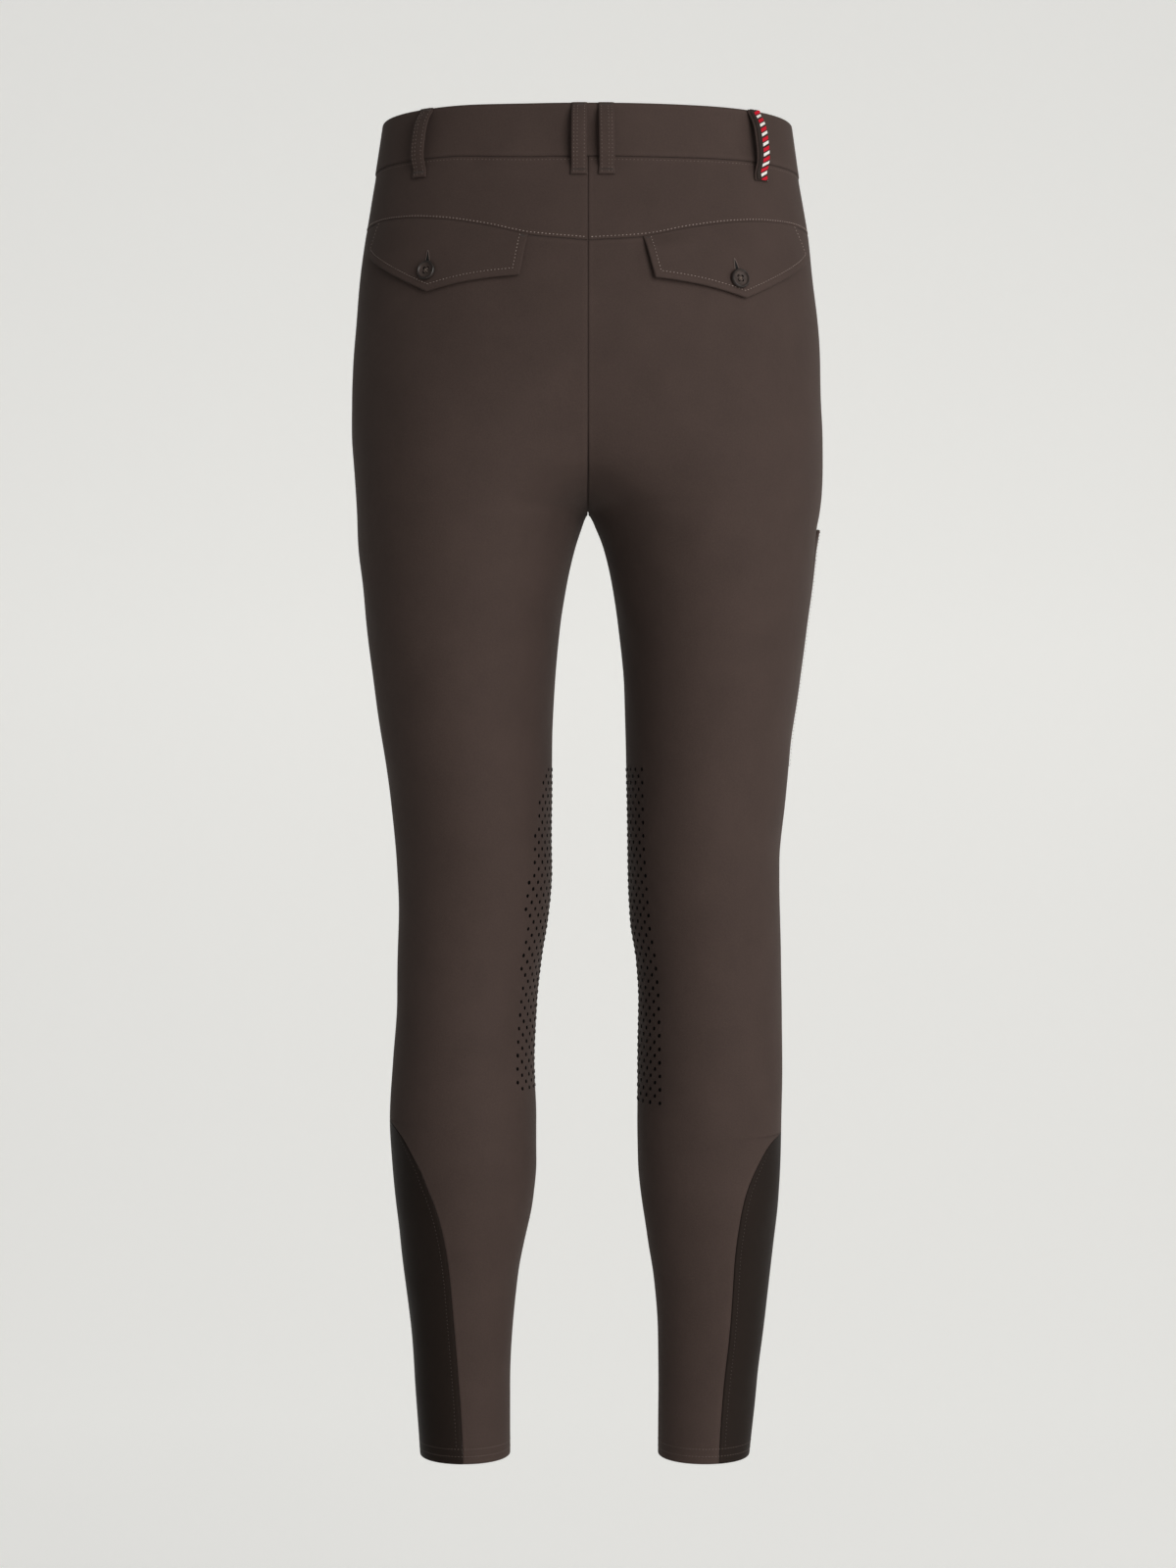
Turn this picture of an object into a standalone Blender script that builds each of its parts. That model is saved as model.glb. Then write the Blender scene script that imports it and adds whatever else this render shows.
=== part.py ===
"""Men's riding breeches, filled out as worn, with nobody in them.

Metres, +Z up. The back of the breeches faces -Y and the wearer's right is +X.
The origin is the middle of the waist opening, at half the height of the waistband.
Sizes below are in millimetres, and angles in degrees.

Every piece lies on one surface. At each height a leg has an oval section, and above the
crotch the two ovals run together at the middle plane. A place on the surface is a side
(RIGHT or LEFT), an angle round that side's oval and a height. The angle is 0 at the inner
leg, 90 at the back, 180 at the outermost point and 270 at the front, so on the hips 90 is
the centre back and 270 the centre front.
"""

from functools import lru_cache
from math import acos, cos, degrees, pi, radians, sin

import bmesh
import bpy
import numpy as np
from mathutils import Matrix, Vector

MM = 0.001
RIGHT = 1
LEFT = -1
SIDE_NAMES = ((LEFT, "left"), (RIGHT, "right"))

# Cloth and clearances.
CLOTH = 1.5
STRETCH_CLOTH = 1.2
BAND_CLOTH = 2.5
LOOP_CLOTH = 1.6
TAPE_CLOTH = 1.0
SEAM_GAP = 0.3
HALF_GAP = SEAM_GAP / 2
LAY_GAP = 0.5

# Heights.
BAND_TOP = 20.5
BAND_SEAM = -20.0
CROTCH = -277.0
HEM = -993.5
CALF_TIP = {LEFT: -736.0, RIGHT: -748.0}
SIDE_SEAM = 183.0

# The surface: how far each side's oval reaches out from the middle plane, how far in, and
# how far it reaches behind and before it. None leaves a row out of that column.
SECTION_COLUMNS = ("height", "outer_left", "outer_right", "inner_left", "inner_right", "back", "front")
SECTIONS = (
    (21.0, 156.5, 155.5, -156.0, -156.0, 90.0, 104.0),
    (-20.0, 162.5, 161.0, -162.0, -162.0, 95.0, 108.0),
    (-70.0, 170.5, 169.0, -170.0, -170.0, 108.0, 110.0),
    (-125.0, None, None, -178.0, -178.0, None, None),
    (-130.0, 176.5, 175.0, None, None, 119.0, 109.0),
    (-165.0, 178.8, 177.2, -300.0, -300.0, 123.5, 107.0),
    (-190.0, 179.3, 177.8, -380.0, -380.0, 125.5, 105.0),
    (-215.0, 179.3, 178.4, -290.0, -290.0, 126.0, 103.0),
    (-240.0, 178.3, 178.0, -120.0, -120.0, 124.0, 100.5),
    (-262.0, 177.2, 177.0, -28.0, -28.0, 120.0, 98.0),
    (-270.0, None, None, -10.5, -10.5, None, None),
    (CROTCH, 176.3, 175.6, HALF_GAP, HALF_GAP, 116.0, 97.0),
    (-288.0, None, 173.9, 4.6, 5.8, None, None),
    (-302.0, 174.8, 172.9, 9.2, 11.4, 109.5, 95.0),
    (-332.0, 171.8, 170.6, 16.4, 18.4, 103.0, 93.0),
    (-362.0, 168.8, 166.9, 21.7, 23.0, None, None),
    (-407.0, 162.8, 160.9, 25.4, 27.0, 90.0, 87.0),
    (-452.0, 156.8, 153.9, 27.9, 29.3, 82.0, 82.0),
    (-497.0, 150.8, 150.8, 27.5, 30.0, None, None),
    (-542.0, 146.3, 146.8, 27.4, 31.0, 71.0, 76.0),
    (-587.0, 145.5, 147.4, 31.1, 32.3, 65.0, 73.0),
    (-617.0, 145.5, 148.1, 35.6, 36.6, 62.0, 71.0),
    (-647.0, 145.8, 148.2, 39.3, 38.3, 63.0, 66.0),
    (-692.0, 148.5, 147.6, 41.1, 38.0, 69.0, 56.0),
    (-737.0, 150.8, 147.0, 38.9, 37.4, 72.0, 48.0),
    (-767.0, 149.3, 146.3, 38.8, 38.4, None, None),
    (-797.0, 147.0, 144.9, 42.1, 41.0, 67.0, 40.0),
    (-827.0, 143.3, 141.8, 48.0, 45.3, None, None),
    (-857.0, 139.5, 138.5, 53.5, 50.0, 56.0, 36.0),
    (-902.0, 134.5, 133.3, 57.9, 53.0, 49.0, 35.0),
    (-942.0, 131.3, 128.2, 59.2, 53.4, 45.0, 36.0),
    (HEM, 128.3, 123.3, 59.3, 53.6, 44.0, 39.0),
)

# On the hips, how far out the oval is fullest, and how much squarer than an ellipse it is.
# On the legs it is fullest halfway across.
FULLEST_COLUMNS = ("height", "fullest")
FULLEST = (
    (21.0, 0.0), (-125.0, 0.0), (-165.0, 20.0), (-190.0, 40.0), (-215.0, 58.0), (-240.0, 74.0),
    (-262.0, 84.0), (CROTCH, 88.2), (-302.0, 92.5),
)
LEGS_START = -302.0

# How far the waist is drawn up at each angle from the centre back: fully from RISE_FULL to the
# waistband's seam, not at all below RISE_START, and by the share RISE_TOP at the top edge.
RISE_COLUMNS = ("angle", "rise_left", "rise_right")
WAIST_RISE = (
    (0.0, 0.0, 0.0), (14.0, 0.0, 0.0), (24.0, 0.9, 0.2), (38.0, 3.0, 1.0), (52.0, 3.5, 1.6),
    (75.0, 4.0, 1.6), (95.0, 3.6, 1.4), (135.0, 0.0, 0.0), (180.0, 0.0, 0.0),
)
RISE_START = -60.0
RISE_FULL = -28.0
RISE_TOP = 0.4

SQUARENESS_COLUMNS = ("height", "squareness")
SQUARENESS = ((21.0, 0.15), (-165.0, 0.15), (CROTCH, 0.08), (-400.0, 0.03), (HEM, 0.03))

# Heights of the leg panels' rows, from the hips down to just above the calf panels.
LEG_ROWS = (
    -142, -165, -180, -200, -225, -245, -260, -269, -274, CROTCH, -281, -289, -302, -325,
    -360, -400, -440, -480, -520, -560, -600, -640, -680, -712,
)
LEVEL_ROW = -120.0
ROWS_ABOVE_LEVEL = 3
YOKE_ROWS = 3
PANEL_COLUMNS = 12
HALVED_FROM = (-225.0, -262.0)
HALVED_TO = (-650.0, -500.0)

# The calf panels' edges: angles at each distance below the tip. A leg's front edge takes
# the other leg's spread, because the lower legs are both turned the same way.
CALF_COLUMNS = ("below_tip", "spread_left", "spread_right")
CALF_EDGES = (
    (0.0, 0.0, 0.0),
    (7.0, 22.0, 19.0),
    (15.0, 34.0, 31.0),
    (35.0, 50.0, 50.0),
    (60.0, 61.0, 60.0),
    (86.0, 70.0, 64.0),
    (107.0, 76.0, 65.0),
    (131.0, 79.5, 65.5),
    (163.0, 82.7, 65.7),
    (200.0, 85.4, 66.8),
    (257.5, 87.7, 66.0),
)
CALF_ROWS = (0, 7, 15, 25, 35, 47, 60, 76, 95, 119, 150, 190, 225)
CALF_TIP_WIDTH = 3.0
CALF_PANEL_COLUMNS = 10

# The yoke seam: how far it lies below the origin at each angle from the centre back.
YOKE_COLUMNS = ("angle", "drop_left", "drop_right")
YOKE_SEAM = (
    (0.0, 84.5, 84.5),
    (14.0, 80.3, 81.3),
    (26.0, 72.2, 74.2),
    (38.0, 66.0, 68.5),
    (52.0, 62.0, 64.8),
    (70.0, 60.4, 63.2),
    (95.0, 61.2, 64.0),
)

# The fly and the waistband's lap: how far each edge goes past the middle plane.
FLY_OVER = 8.0
FLY_UNDER = 6.0
FLY_END = -165.0
FLY_CLOSED = -180.0
FLY_FLAT = -200.0
FLY_LIFT = 2.3
FLY_COLUMN = 18.0
BAND_OVER = 28.0
BAND_UNDER = 12.0
BAND_PROUD = 0.8
BAND_LIFT = 2.9
BAND_RAMP = (-45.0, -16.0)
# Each row's height, and how far both faces are set in there to round the top edge.
BAND_ROWS = ((BAND_SEAM + HALF_GAP, 0.0), (-7.0, 0.0), (7.0, 0.0), (BAND_TOP - 1.0, 0.0), (BAND_TOP, 0.6))
BAND_COLUMNS = 26
LAP_COLUMNS = 3

# Pocket flaps: corners as angle from the centre back and height.
FLAP_CORNERS = {
    LEFT: {"bottom_in": (16.5, -111.2), "point": (41.9, -120.5), "bottom_out": (74.1, -82.8),
           "top_in": 14.8, "top_out": 69.1},
    RIGHT: {"bottom_in": (16.2, -113.5), "point": (41.1, -125.8), "bottom_out": (76.2, -85.3),
            "top_in": 13.7, "top_out": 68.0},
}
FLAP_TOP_CLOTH = 1.0
FLAP_CLOTH = 2.0
FLAP_THICKENS_BY = 0.25
FLAP_STAND = 1.4
FLAP_HOLLOW = 1.6
FLAP_COLUMNS_IN = 6
FLAP_COLUMNS_OUT = 7
FLAP_ROWS = 4

# Buttons.
BUTTON_GAP = 0.7
FLAP_BUTTON_PLACES = {LEFT: (42.1, -104.9), RIGHT: (39.1, -111.9)}
FLAP_BUTTON_WIDTH = 15.0
WAIST_BUTTON_WIDTH = 17.0
WAIST_BUTTON_X = 14.0
BUTTON_SIDES = 20
# A button's profile as (distance from the middle, height), in parts of its radius.
BUTTON_PROFILE = ((0.0, 0.0), (0.80, 0.0), (0.97, 0.09), (1.0, 0.22), (0.93, 0.36), (0.78, 0.36),
                  (0.64, 0.24), (0.0, 0.22))

# Belt loops: name, side, angle from the centre back, and how far the loop bows out.
LOOPS = (
    ("loop_back_left", LEFT, 2.3, 6.0),
    ("loop_back_right", RIGHT, 4.9, 6.0),
    ("loop_side_left", LEFT, 49.5, 5.5),
    ("loop_side_right", RIGHT, 52.0, 5.5),
    ("loop_front_left", LEFT, 148.0, 6.5),
    ("loop_front_right", RIGHT, 148.0, 6.5),
)
LOOP_GAP = 0.4
LOOP_WIDTH = 11.5
LOOP_TOP = 21.5
LOOP_BOTTOM = -33.5
LOOP_TACK = 4.5
LOOP_STEP = 8.0
LOOP_ROWS = 13
TAPED_LOOP = "loop_side_right"
TAPE_WIDTH = 9.5

# Thigh pocket, on the wearer's right.
POCKET_TOP = -288.0
POCKET_BOTTOM = -470.0
POCKET_ANGLES = (178.8, 231.0)
POCKET_BULGE = 2.2
POCKET_EDGE_BULGE = 0.7
POCKET_COLUMNS = 8
POCKET_ROWS = 7

MATERIALS = {
    "cloth": ((0.055, 0.037, 0.031), 0.85),
    "stretch_cloth": ((0.028, 0.019, 0.016), 0.8),
    "button": ((0.045, 0.03, 0.024), 0.3),
    "tape": ((0.35, 0.03, 0.03), 0.7),
}


def smooth_curve(points):
    """A curve through (x, y) points with no overshoot, which runs on straight past its ends."""
    xs, ys = (np.array(values, float) for values in zip(*sorted(points)))
    steps = np.diff(xs)
    slopes = np.diff(ys) / steps
    tangents = np.concatenate([slopes[:1], np.zeros(len(slopes) - 1), slopes[-1:]])
    for i in range(1, len(slopes)):
        before, after = slopes[i - 1], slopes[i]
        if before * after > 0:
            weights = (2 * steps[i] + steps[i - 1], steps[i] + 2 * steps[i - 1])
            tangents[i] = sum(weights) / (weights[0] / before + weights[1] / after)

    def value(x):
        if x <= xs[0]:
            return float(ys[0] + tangents[0] * (x - xs[0]))
        if x >= xs[-1]:
            return float(ys[-1] + tangents[-1] * (x - xs[-1]))
        i = int(np.searchsorted(xs, x)) - 1
        t = (x - xs[i]) / steps[i]
        blend = t * t * (3 - 2 * t)
        start = t * (1 - t) ** 2 * steps[i] * tangents[i]
        end = t * t * (t - 1) * steps[i] * tangents[i + 1]
        return float(ys[i] * (1 - blend) + ys[i + 1] * blend + start + end)

    return value


def column(table, columns, name):
    """The curve of one column of a table against its first column."""
    i = columns.index(name)
    return smooth_curve([(row[0], row[i]) for row in table if row[i] is not None])


def smooth_step(value, start, end):
    """0 at start, 1 at end, and smooth between them."""
    t = min(max((value - start) / (end - start), 0.0), 1.0)
    return t * t * (3 - 2 * t)


OUTER = {side: column(SECTIONS, SECTION_COLUMNS, f"outer_{name}") for side, name in SIDE_NAMES}
INNER = {side: column(SECTIONS, SECTION_COLUMNS, f"inner_{name}") for side, name in SIDE_NAMES}
BACK = column(SECTIONS, SECTION_COLUMNS, "back")
FRONT = column(SECTIONS, SECTION_COLUMNS, "front")
FULLEST_OUT = column(FULLEST, FULLEST_COLUMNS, "fullest")
SQUARE = column(SQUARENESS, SQUARENESS_COLUMNS, "squareness")
YOKE_DROP = {side: column(YOKE_SEAM, YOKE_COLUMNS, f"drop_{name}") for side, name in SIDE_NAMES}
CALF_SPREAD = {side: column(CALF_EDGES, CALF_COLUMNS, f"spread_{name}") for side, name in SIDE_NAMES}
RISE = {side: column(WAIST_RISE, RISE_COLUMNS, f"rise_{name}") for side, name in SIDE_NAMES}


@lru_cache(maxsize=None)
def section(side, height):
    """A side's oval: where it is fullest, its width inwards and outwards from there, the middle
    and half of its depth, and its squareness."""
    outer, inner = OUTER[side](height), INNER[side](height)
    hips = smooth_step(height, LEGS_START, CROTCH)
    fullest = FULLEST_OUT(height) * hips + (outer + inner) / 2 * (1 - hips)
    back, front = BACK(height), FRONT(height)
    return fullest, fullest - inner, outer - fullest, (front - back) / 2, (front + back) / 2, SQUARE(height)


def waist_rise(side, angle, height):
    """How far the surface is drawn up at this angle and height."""
    drawn = smooth_step(height, RISE_START, RISE_FULL)
    drawn *= 1 - (1 - RISE_TOP) * smooth_step(height, BAND_SEAM, BAND_TOP)
    return RISE[side](min(max(angle - 90.0, 0.0), 180.0)) * drawn if drawn else 0.0


def surface_point(side, angle, height):
    fullest, width_in, width_out, centre, half_depth, square = section(side, height)
    turn = radians(angle)
    across = fullest - (width_in if cos(turn) > 0 else width_out) * cos(turn)
    deep = centre - half_depth * sin(turn) * (1 + square * cos(turn) ** 2)
    return Vector((side * across, deep, height + waist_rise(side, angle, height)))


def surface_normal(side, angle, height):
    along = surface_point(side, angle + 0.5, height) - surface_point(side, angle - 0.5, height)
    up = surface_point(side, angle, height + 1) - surface_point(side, angle, height - 1)
    return (along.cross(up) * side).normalized()


def place(side, angle, height, lift=0.0):
    """The point that lies lift out from the surface."""
    return surface_point(side, angle, height) + surface_normal(side, angle, height) * lift


def angle_for(side, angle, height, distance):
    """The angle that a distance along the surface, in mm, spans at this place."""
    ahead = surface_point(side, angle + 0.5, height) - surface_point(side, angle - 0.5, height)
    return distance / ahead.length


def angle_at_x(side, height, past):
    """Angle of the place at the back that lies past mm beyond the middle plane, or 0 where the
    leg doesn't reach that plane."""
    fullest, width_in = section(side, height)[:2]
    return degrees(acos(min((fullest + past) / width_in, 1.0)))


def inner_edge(side, height):
    """Where a back panel starts: the centre back seam, or the inseam."""
    clipped = angle_at_x(side, height, -HALF_GAP)
    return max(clipped, angle_for(side, 0.0, height, HALF_GAP))


def fly_reach(side, height):
    """How far a front panel goes past the middle plane."""
    reach = FLY_OVER if side == LEFT else FLY_UNDER
    closed = smooth_step(height, FLY_END, FLY_CLOSED)
    return reach * (1 - closed) - HALF_GAP * closed


def front_edge(side, height):
    """Where a front panel ends: the fly, the centre front seam, or the inseam."""
    clipped = angle_at_x(side, height, fly_reach(side, height))
    return 360.0 - max(clipped, angle_for(side, 360.0, height, HALF_GAP))


def calf_edges(side, height):
    """Angles of a calf panel's back and front edge, or of the side seam above the tip."""
    below = CALF_TIP[side] - height
    if below < 0:
        return SIDE_SEAM, SIDE_SEAM
    tip = angle_for(side, SIDE_SEAM, height, CALF_TIP_WIDTH / 2)
    to_outermost = (SIDE_SEAM - 180.0) * smooth_step(below, 15.0, 0.0)
    back = 180.0 + to_outermost - CALF_SPREAD[side](below) - tip
    front = 180.0 + to_outermost + CALF_SPREAD[-side](below) + tip
    return back, front


def leg_heights(side):
    """Row heights of a leg's panels below the level row, down to the hem."""
    tip = CALF_TIP[side]
    return [*LEG_ROWS, tip + 1.0, *(tip - below for below in CALF_ROWS), HEM]


def spread(start, end, count):
    return [start + (end - start) * i / count for i in range(count + 1)]


def material(name):
    found = bpy.data.materials.get(name)
    if found:
        return found
    colour, roughness = MATERIALS[name]
    made = bpy.data.materials.new(name)
    made.use_nodes = True
    shader = made.node_tree.nodes["Principled BSDF"]
    shader.inputs["Base Color"].default_value = (*colour, 1.0)
    shader.inputs["Roughness"].default_value = roughness
    shader.inputs["Metallic"].default_value = 0.0
    made.diffuse_color = (*colour, 1.0)
    return made


def add_object(name, form, material_name):
    """Makes the finished bmesh, which is in mm, a named object of the scene."""
    bmesh.ops.scale(form, verts=form.verts, vec=(MM, MM, MM))
    bmesh.ops.recalc_face_normals(form, faces=form.faces)
    mesh = bpy.data.meshes.new(name)
    form.to_mesh(mesh)
    form.free()
    mesh.shade_smooth()
    mesh.set_sharp_from_angle(angle=radians(40))
    mesh.materials.append(material(material_name))
    made = bpy.data.objects.new(name, mesh)
    bpy.context.scene.collection.objects.link(made)
    return made


def add_wall(name, grid, material_name):
    """A closed wall. The grid holds rows of (side, angle, height, lift, cloth): lift is of the
    outer face, and the inner face lies one cloth further in along the true normal, so that
    neighbours keep their gap right through."""
    form = bmesh.new()
    faces_out = [[form.verts.new(place(*spot[:4])) for spot in row] for row in grid]
    faces_in = [
        [form.verts.new(place(side, angle, height, lift - cloth)) for side, angle, height, lift, cloth in row]
        for row in grid
    ]
    rows, columns = len(grid), len(grid[0])
    for r in range(rows - 1):
        for c in range(columns - 1):
            corners = ((r, c), (r, c + 1), (r + 1, c + 1), (r + 1, c))
            form.faces.new([faces_out[i][j] for i, j in corners])
            form.faces.new([faces_in[i][j] for i, j in reversed(corners)])
    rim = [(0, c) for c in range(columns - 1)]
    rim += [(r, columns - 1) for r in range(rows - 1)]
    rim += [(rows - 1, c) for c in range(columns - 1, 0, -1)]
    rim += [(r, 0) for r in range(rows - 1, 0, -1)]
    for (i, j), (k, m) in zip(rim, rim[1:] + rim[:1]):
        form.faces.new((faces_out[i][j], faces_in[i][j], faces_in[k][m], faces_out[k][m]))
    return add_object(name, form, material_name)


def column_angles(start, fullest, end, height, count):
    """Angles of a panel's columns. From the crotch to the knee they are halved where the leg
    is fullest, so that the outer ones run straight past the crotch."""
    share = smooth_step(height, *HALVED_FROM) * smooth_step(height, *HALVED_TO)
    half = count // 2
    halved = spread(start, fullest, half) + spread(fullest, end, count - half)[1:]
    return [even * (1 - share) + own * share for even, own in zip(spread(start, end, count), halved)]


def back_angles(side, height):
    """Angles of a back panel's columns, from the middle or the inseam to its outer seam."""
    seam = calf_edges(side, height)[0]
    end = seam - angle_for(side, seam, height, HALF_GAP)
    return column_angles(inner_edge(side, height), 90.0, end, height, PANEL_COLUMNS)


def level_row(side, angles, height, cloth=CLOTH):
    return [(side, angle, height, 0.0, cloth) for angle in angles]


def rows_between(side, angles, top, bottom, steps):
    """Rows of cloth that run from one height curve to another, each a function of the angle."""
    return [
        [(side, angle, top(angle) * (1 - t) + bottom(angle) * t, 0.0, CLOTH) for angle in angles]
        for t in spread(0.0, 1.0, steps)
    ]


def yoke_seam(side, shift):
    """Height of the yoke seam against the angle, moved by shift."""
    return lambda angle: shift - YOKE_DROP[side](angle - 90.0)


def add_yoke(side, name):
    angles = back_angles(side, LEVEL_ROW)
    band_seam = BAND_SEAM - HALF_GAP
    grid = rows_between(side, angles, lambda angle: band_seam, yoke_seam(side, HALF_GAP), YOKE_ROWS)
    return add_wall(f"yoke_{name}", grid, "cloth")


def add_back(side, name):
    angles = back_angles(side, LEVEL_ROW)
    grid = rows_between(side, angles, yoke_seam(side, -HALF_GAP), lambda angle: LEVEL_ROW, ROWS_ABOVE_LEVEL)
    grid += [level_row(side, back_angles(side, height), height) for height in leg_heights(side)]
    return add_wall(f"back_{name}", grid, "cloth")


def front_row(side, height):
    """One row of a front panel. Its last two columns carry the lap of the left front at the fly."""
    seam = calf_edges(side, height)[1]
    start = seam + angle_for(side, seam, height, HALF_GAP)
    end = front_edge(side, height)
    step = angle_for(side, end, height, FLY_COLUMN)
    row = level_row(side, column_angles(start, 270.0, end - 2 * step, height, PANEL_COLUMNS - 2), height)
    lap = FLY_LIFT * smooth_step(height, FLY_FLAT, FLY_CLOSED) if side == LEFT else 0.0
    return row + [(side, angle, height, lap, CLOTH) for angle in (end - step, end)]


def add_front(side, name):
    """The front panel, whose rows meet the yoke's and the back panel's at the side seam."""
    yoke_end = yoke_seam(side, 0.0)(SIDE_SEAM)
    heights = spread(BAND_SEAM - HALF_GAP, yoke_end, YOKE_ROWS)
    heights += spread(yoke_end, LEVEL_ROW, ROWS_ABOVE_LEVEL)[1:] + leg_heights(side)
    return add_wall(f"front_{name}", [front_row(side, height) for height in heights], "cloth")


def add_calf_panel(side, name):
    grid = []
    for height in leg_heights(side):
        if height > CALF_TIP[side]:
            continue
        back, front = calf_edges(side, height)
        start = back + angle_for(side, back, height, HALF_GAP)
        end = front - angle_for(side, front, height, HALF_GAP)
        grid.append(level_row(side, spread(start, end, CALF_PANEL_COLUMNS), height, STRETCH_CLOTH))
    return add_wall(f"calf_panel_{name}", grid, "stretch_cloth")


def front_angle(side, height, past):
    """Angle at the front of the waistband that lies past mm beyond the middle plane."""
    return 360.0 - angle_at_x(side, height, past)


def band_lift(side, angle, height):
    """The waistband's outer face: its left end lies on top of the right one at the front."""
    if side == RIGHT or angle < 180.0:
        return BAND_PROUD
    return BAND_PROUD + BAND_LIFT * smooth_step(surface_point(side, angle, height).x, *BAND_RAMP)


def add_waistband():
    """One strip, from its right end under the lap, round the back, to its left end on top."""
    grid = []
    for height, edge in BAND_ROWS:
        ramp_start, ramp_end = (front_angle(LEFT, height, x) for x in BAND_RAMP)
        right = spread(front_angle(RIGHT, height, BAND_UNDER), 90.0, BAND_COLUMNS)
        left = spread(90.0, ramp_start, BAND_COLUMNS)[1:]
        left += spread(ramp_start, ramp_end, LAP_COLUMNS)[1:]
        left += spread(ramp_end, front_angle(LEFT, height, BAND_OVER), LAP_COLUMNS)[1:]
        spots = [(RIGHT, angle) for angle in right] + [(LEFT, angle) for angle in left]
        grid.append([
            (side, angle, height, band_lift(side, angle, height) - edge, BAND_CLOTH - 2 * edge)
            for side, angle in spots
        ])
    return add_wall("waistband", grid, "cloth")


def flap_edges(side):
    """The flap's upper and lower edge as lists of (angle, height), column by column."""
    corners = FLAP_CORNERS[side]
    seam = yoke_seam(side, -SEAM_GAP)
    columns = FLAP_COLUMNS_IN + FLAP_COLUMNS_OUT
    top_angles = spread(90.0 + corners["top_in"], 90.0 + corners["top_out"], columns)
    top = [(angle, seam(angle)) for angle in top_angles]
    bottom = []
    lower_edges = (("bottom_in", "point", FLAP_COLUMNS_IN), ("point", "bottom_out", FLAP_COLUMNS_OUT))
    for start, end, count in lower_edges:
        for t in spread(0.0, 1.0, count):
            angle = corners[start][0] * (1 - t) + corners[end][0] * t
            height = corners[start][1] * (1 - t) + corners[end][1] * t
            hollow = FLAP_HOLLOW * sin(pi * t) if start == "bottom_in" else 0.0
            bottom.append((90.0 + angle, height + hollow))
    del bottom[FLAP_COLUMNS_IN]
    return top, bottom


def flap_lift(down):
    """Outer face and cloth of a flap, down being 0 at the seam and 1 at the free edge."""
    cloth = FLAP_TOP_CLOTH + (FLAP_CLOTH - FLAP_TOP_CLOTH) * smooth_step(down, 0.0, FLAP_THICKENS_BY)
    return LAY_GAP + cloth + FLAP_STAND * down ** 2, cloth


def add_flap(side, name):
    top, bottom = flap_edges(side)
    grid = []
    for down in spread(0.0, 1.0, FLAP_ROWS):
        lift, cloth = flap_lift(down)
        row = []
        for (top_angle, top_height), (low_angle, low_height) in zip(top, bottom):
            angle = top_angle * (1 - down) + low_angle * down
            height = top_height * (1 - down) + low_height * down
            row.append((side, angle, height, lift, cloth))
        grid.append(row)
    return add_wall(f"flap_{name}", grid, "cloth")


def add_button(name, width, side, angle, height, lift):
    """A turned button with a raised rim, its flat back lift mm out from the surface."""
    form = bmesh.new()
    radius = width / 2
    profile = [form.verts.new((radius * r, 0.0, radius * z)) for r, z in BUTTON_PROFILE]
    edges = [form.edges.new(pair) for pair in zip(profile, profile[1:])]
    bmesh.ops.spin(form, geom=profile + edges, axis=(0, 0, 1), angle=2 * pi, steps=BUTTON_SIDES)
    bmesh.ops.remove_doubles(form, verts=form.verts, dist=0.001)
    out = surface_normal(side, angle, height)
    turn = out.to_track_quat("Z", "Y").to_matrix().to_4x4()
    there = Matrix.Translation(place(side, angle, height, lift))
    bmesh.ops.transform(form, matrix=there @ turn, verts=form.verts)
    return add_object(name, form, "button")


def add_flap_button(side, name):
    angle, height = FLAP_BUTTON_PLACES[side]
    top = yoke_seam(side, 0.0)(90.0 + angle)
    down = (top - height) / (top - FLAP_CORNERS[side]["point"][1])
    lift = flap_lift(down)[0] + BUTTON_GAP
    return add_button(f"flap_button_{name}", FLAP_BUTTON_WIDTH, side, 90.0 + angle, height, lift)


def add_waist_button():
    angle = front_angle(LEFT, 0.0, WAIST_BUTTON_X)
    lift = band_lift(LEFT, angle, 0.0) + BUTTON_GAP
    return add_button("waist_button", WAIST_BUTTON_WIDTH, LEFT, angle, 0.0, lift)


def loop_lift(height, bow):
    """Inner face of a belt loop: flat at its two tacked ends and bowed out between them."""
    t = (LOOP_TOP - LOOP_TACK - height) / (LOOP_TOP - LOOP_BOTTOM - 2 * LOOP_TACK)
    stand = bow * (1 - abs(2 * t - 1) ** 3) if 0 < t < 1 else 0.0
    return LOOP_GAP + BAND_PROUD * smooth_step(height, BAND_SEAM - LOOP_STEP, BAND_SEAM) + stand


def loop_grid(side, angle, bow, width, gap, cloth):
    """A strap of this width over a loop's line: gap beyond the loop's inner face, cloth thick."""
    rows = []
    for height in spread(LOOP_TOP, LOOP_BOTTOM, LOOP_ROWS):
        half = angle_for(side, 90.0 + angle, height, width / 2)
        lift = loop_lift(height, bow) + gap + cloth
        rows.append([(side, 90.0 + angle + turn, height, lift, cloth) for turn in (-half, 0.0, half)])
    return rows


def add_loop(name, side, angle, bow):
    return add_wall(name, loop_grid(side, angle, bow, LOOP_WIDTH, 0.0, LOOP_CLOTH), "cloth")


def add_tape(side, angle, bow):
    """The woven tape on the outer face of one belt loop."""
    grid = loop_grid(side, angle, bow, TAPE_WIDTH, LOOP_CLOTH + SEAM_GAP, TAPE_CLOTH)
    return add_wall("loop_tape", grid, "tape")


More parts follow.
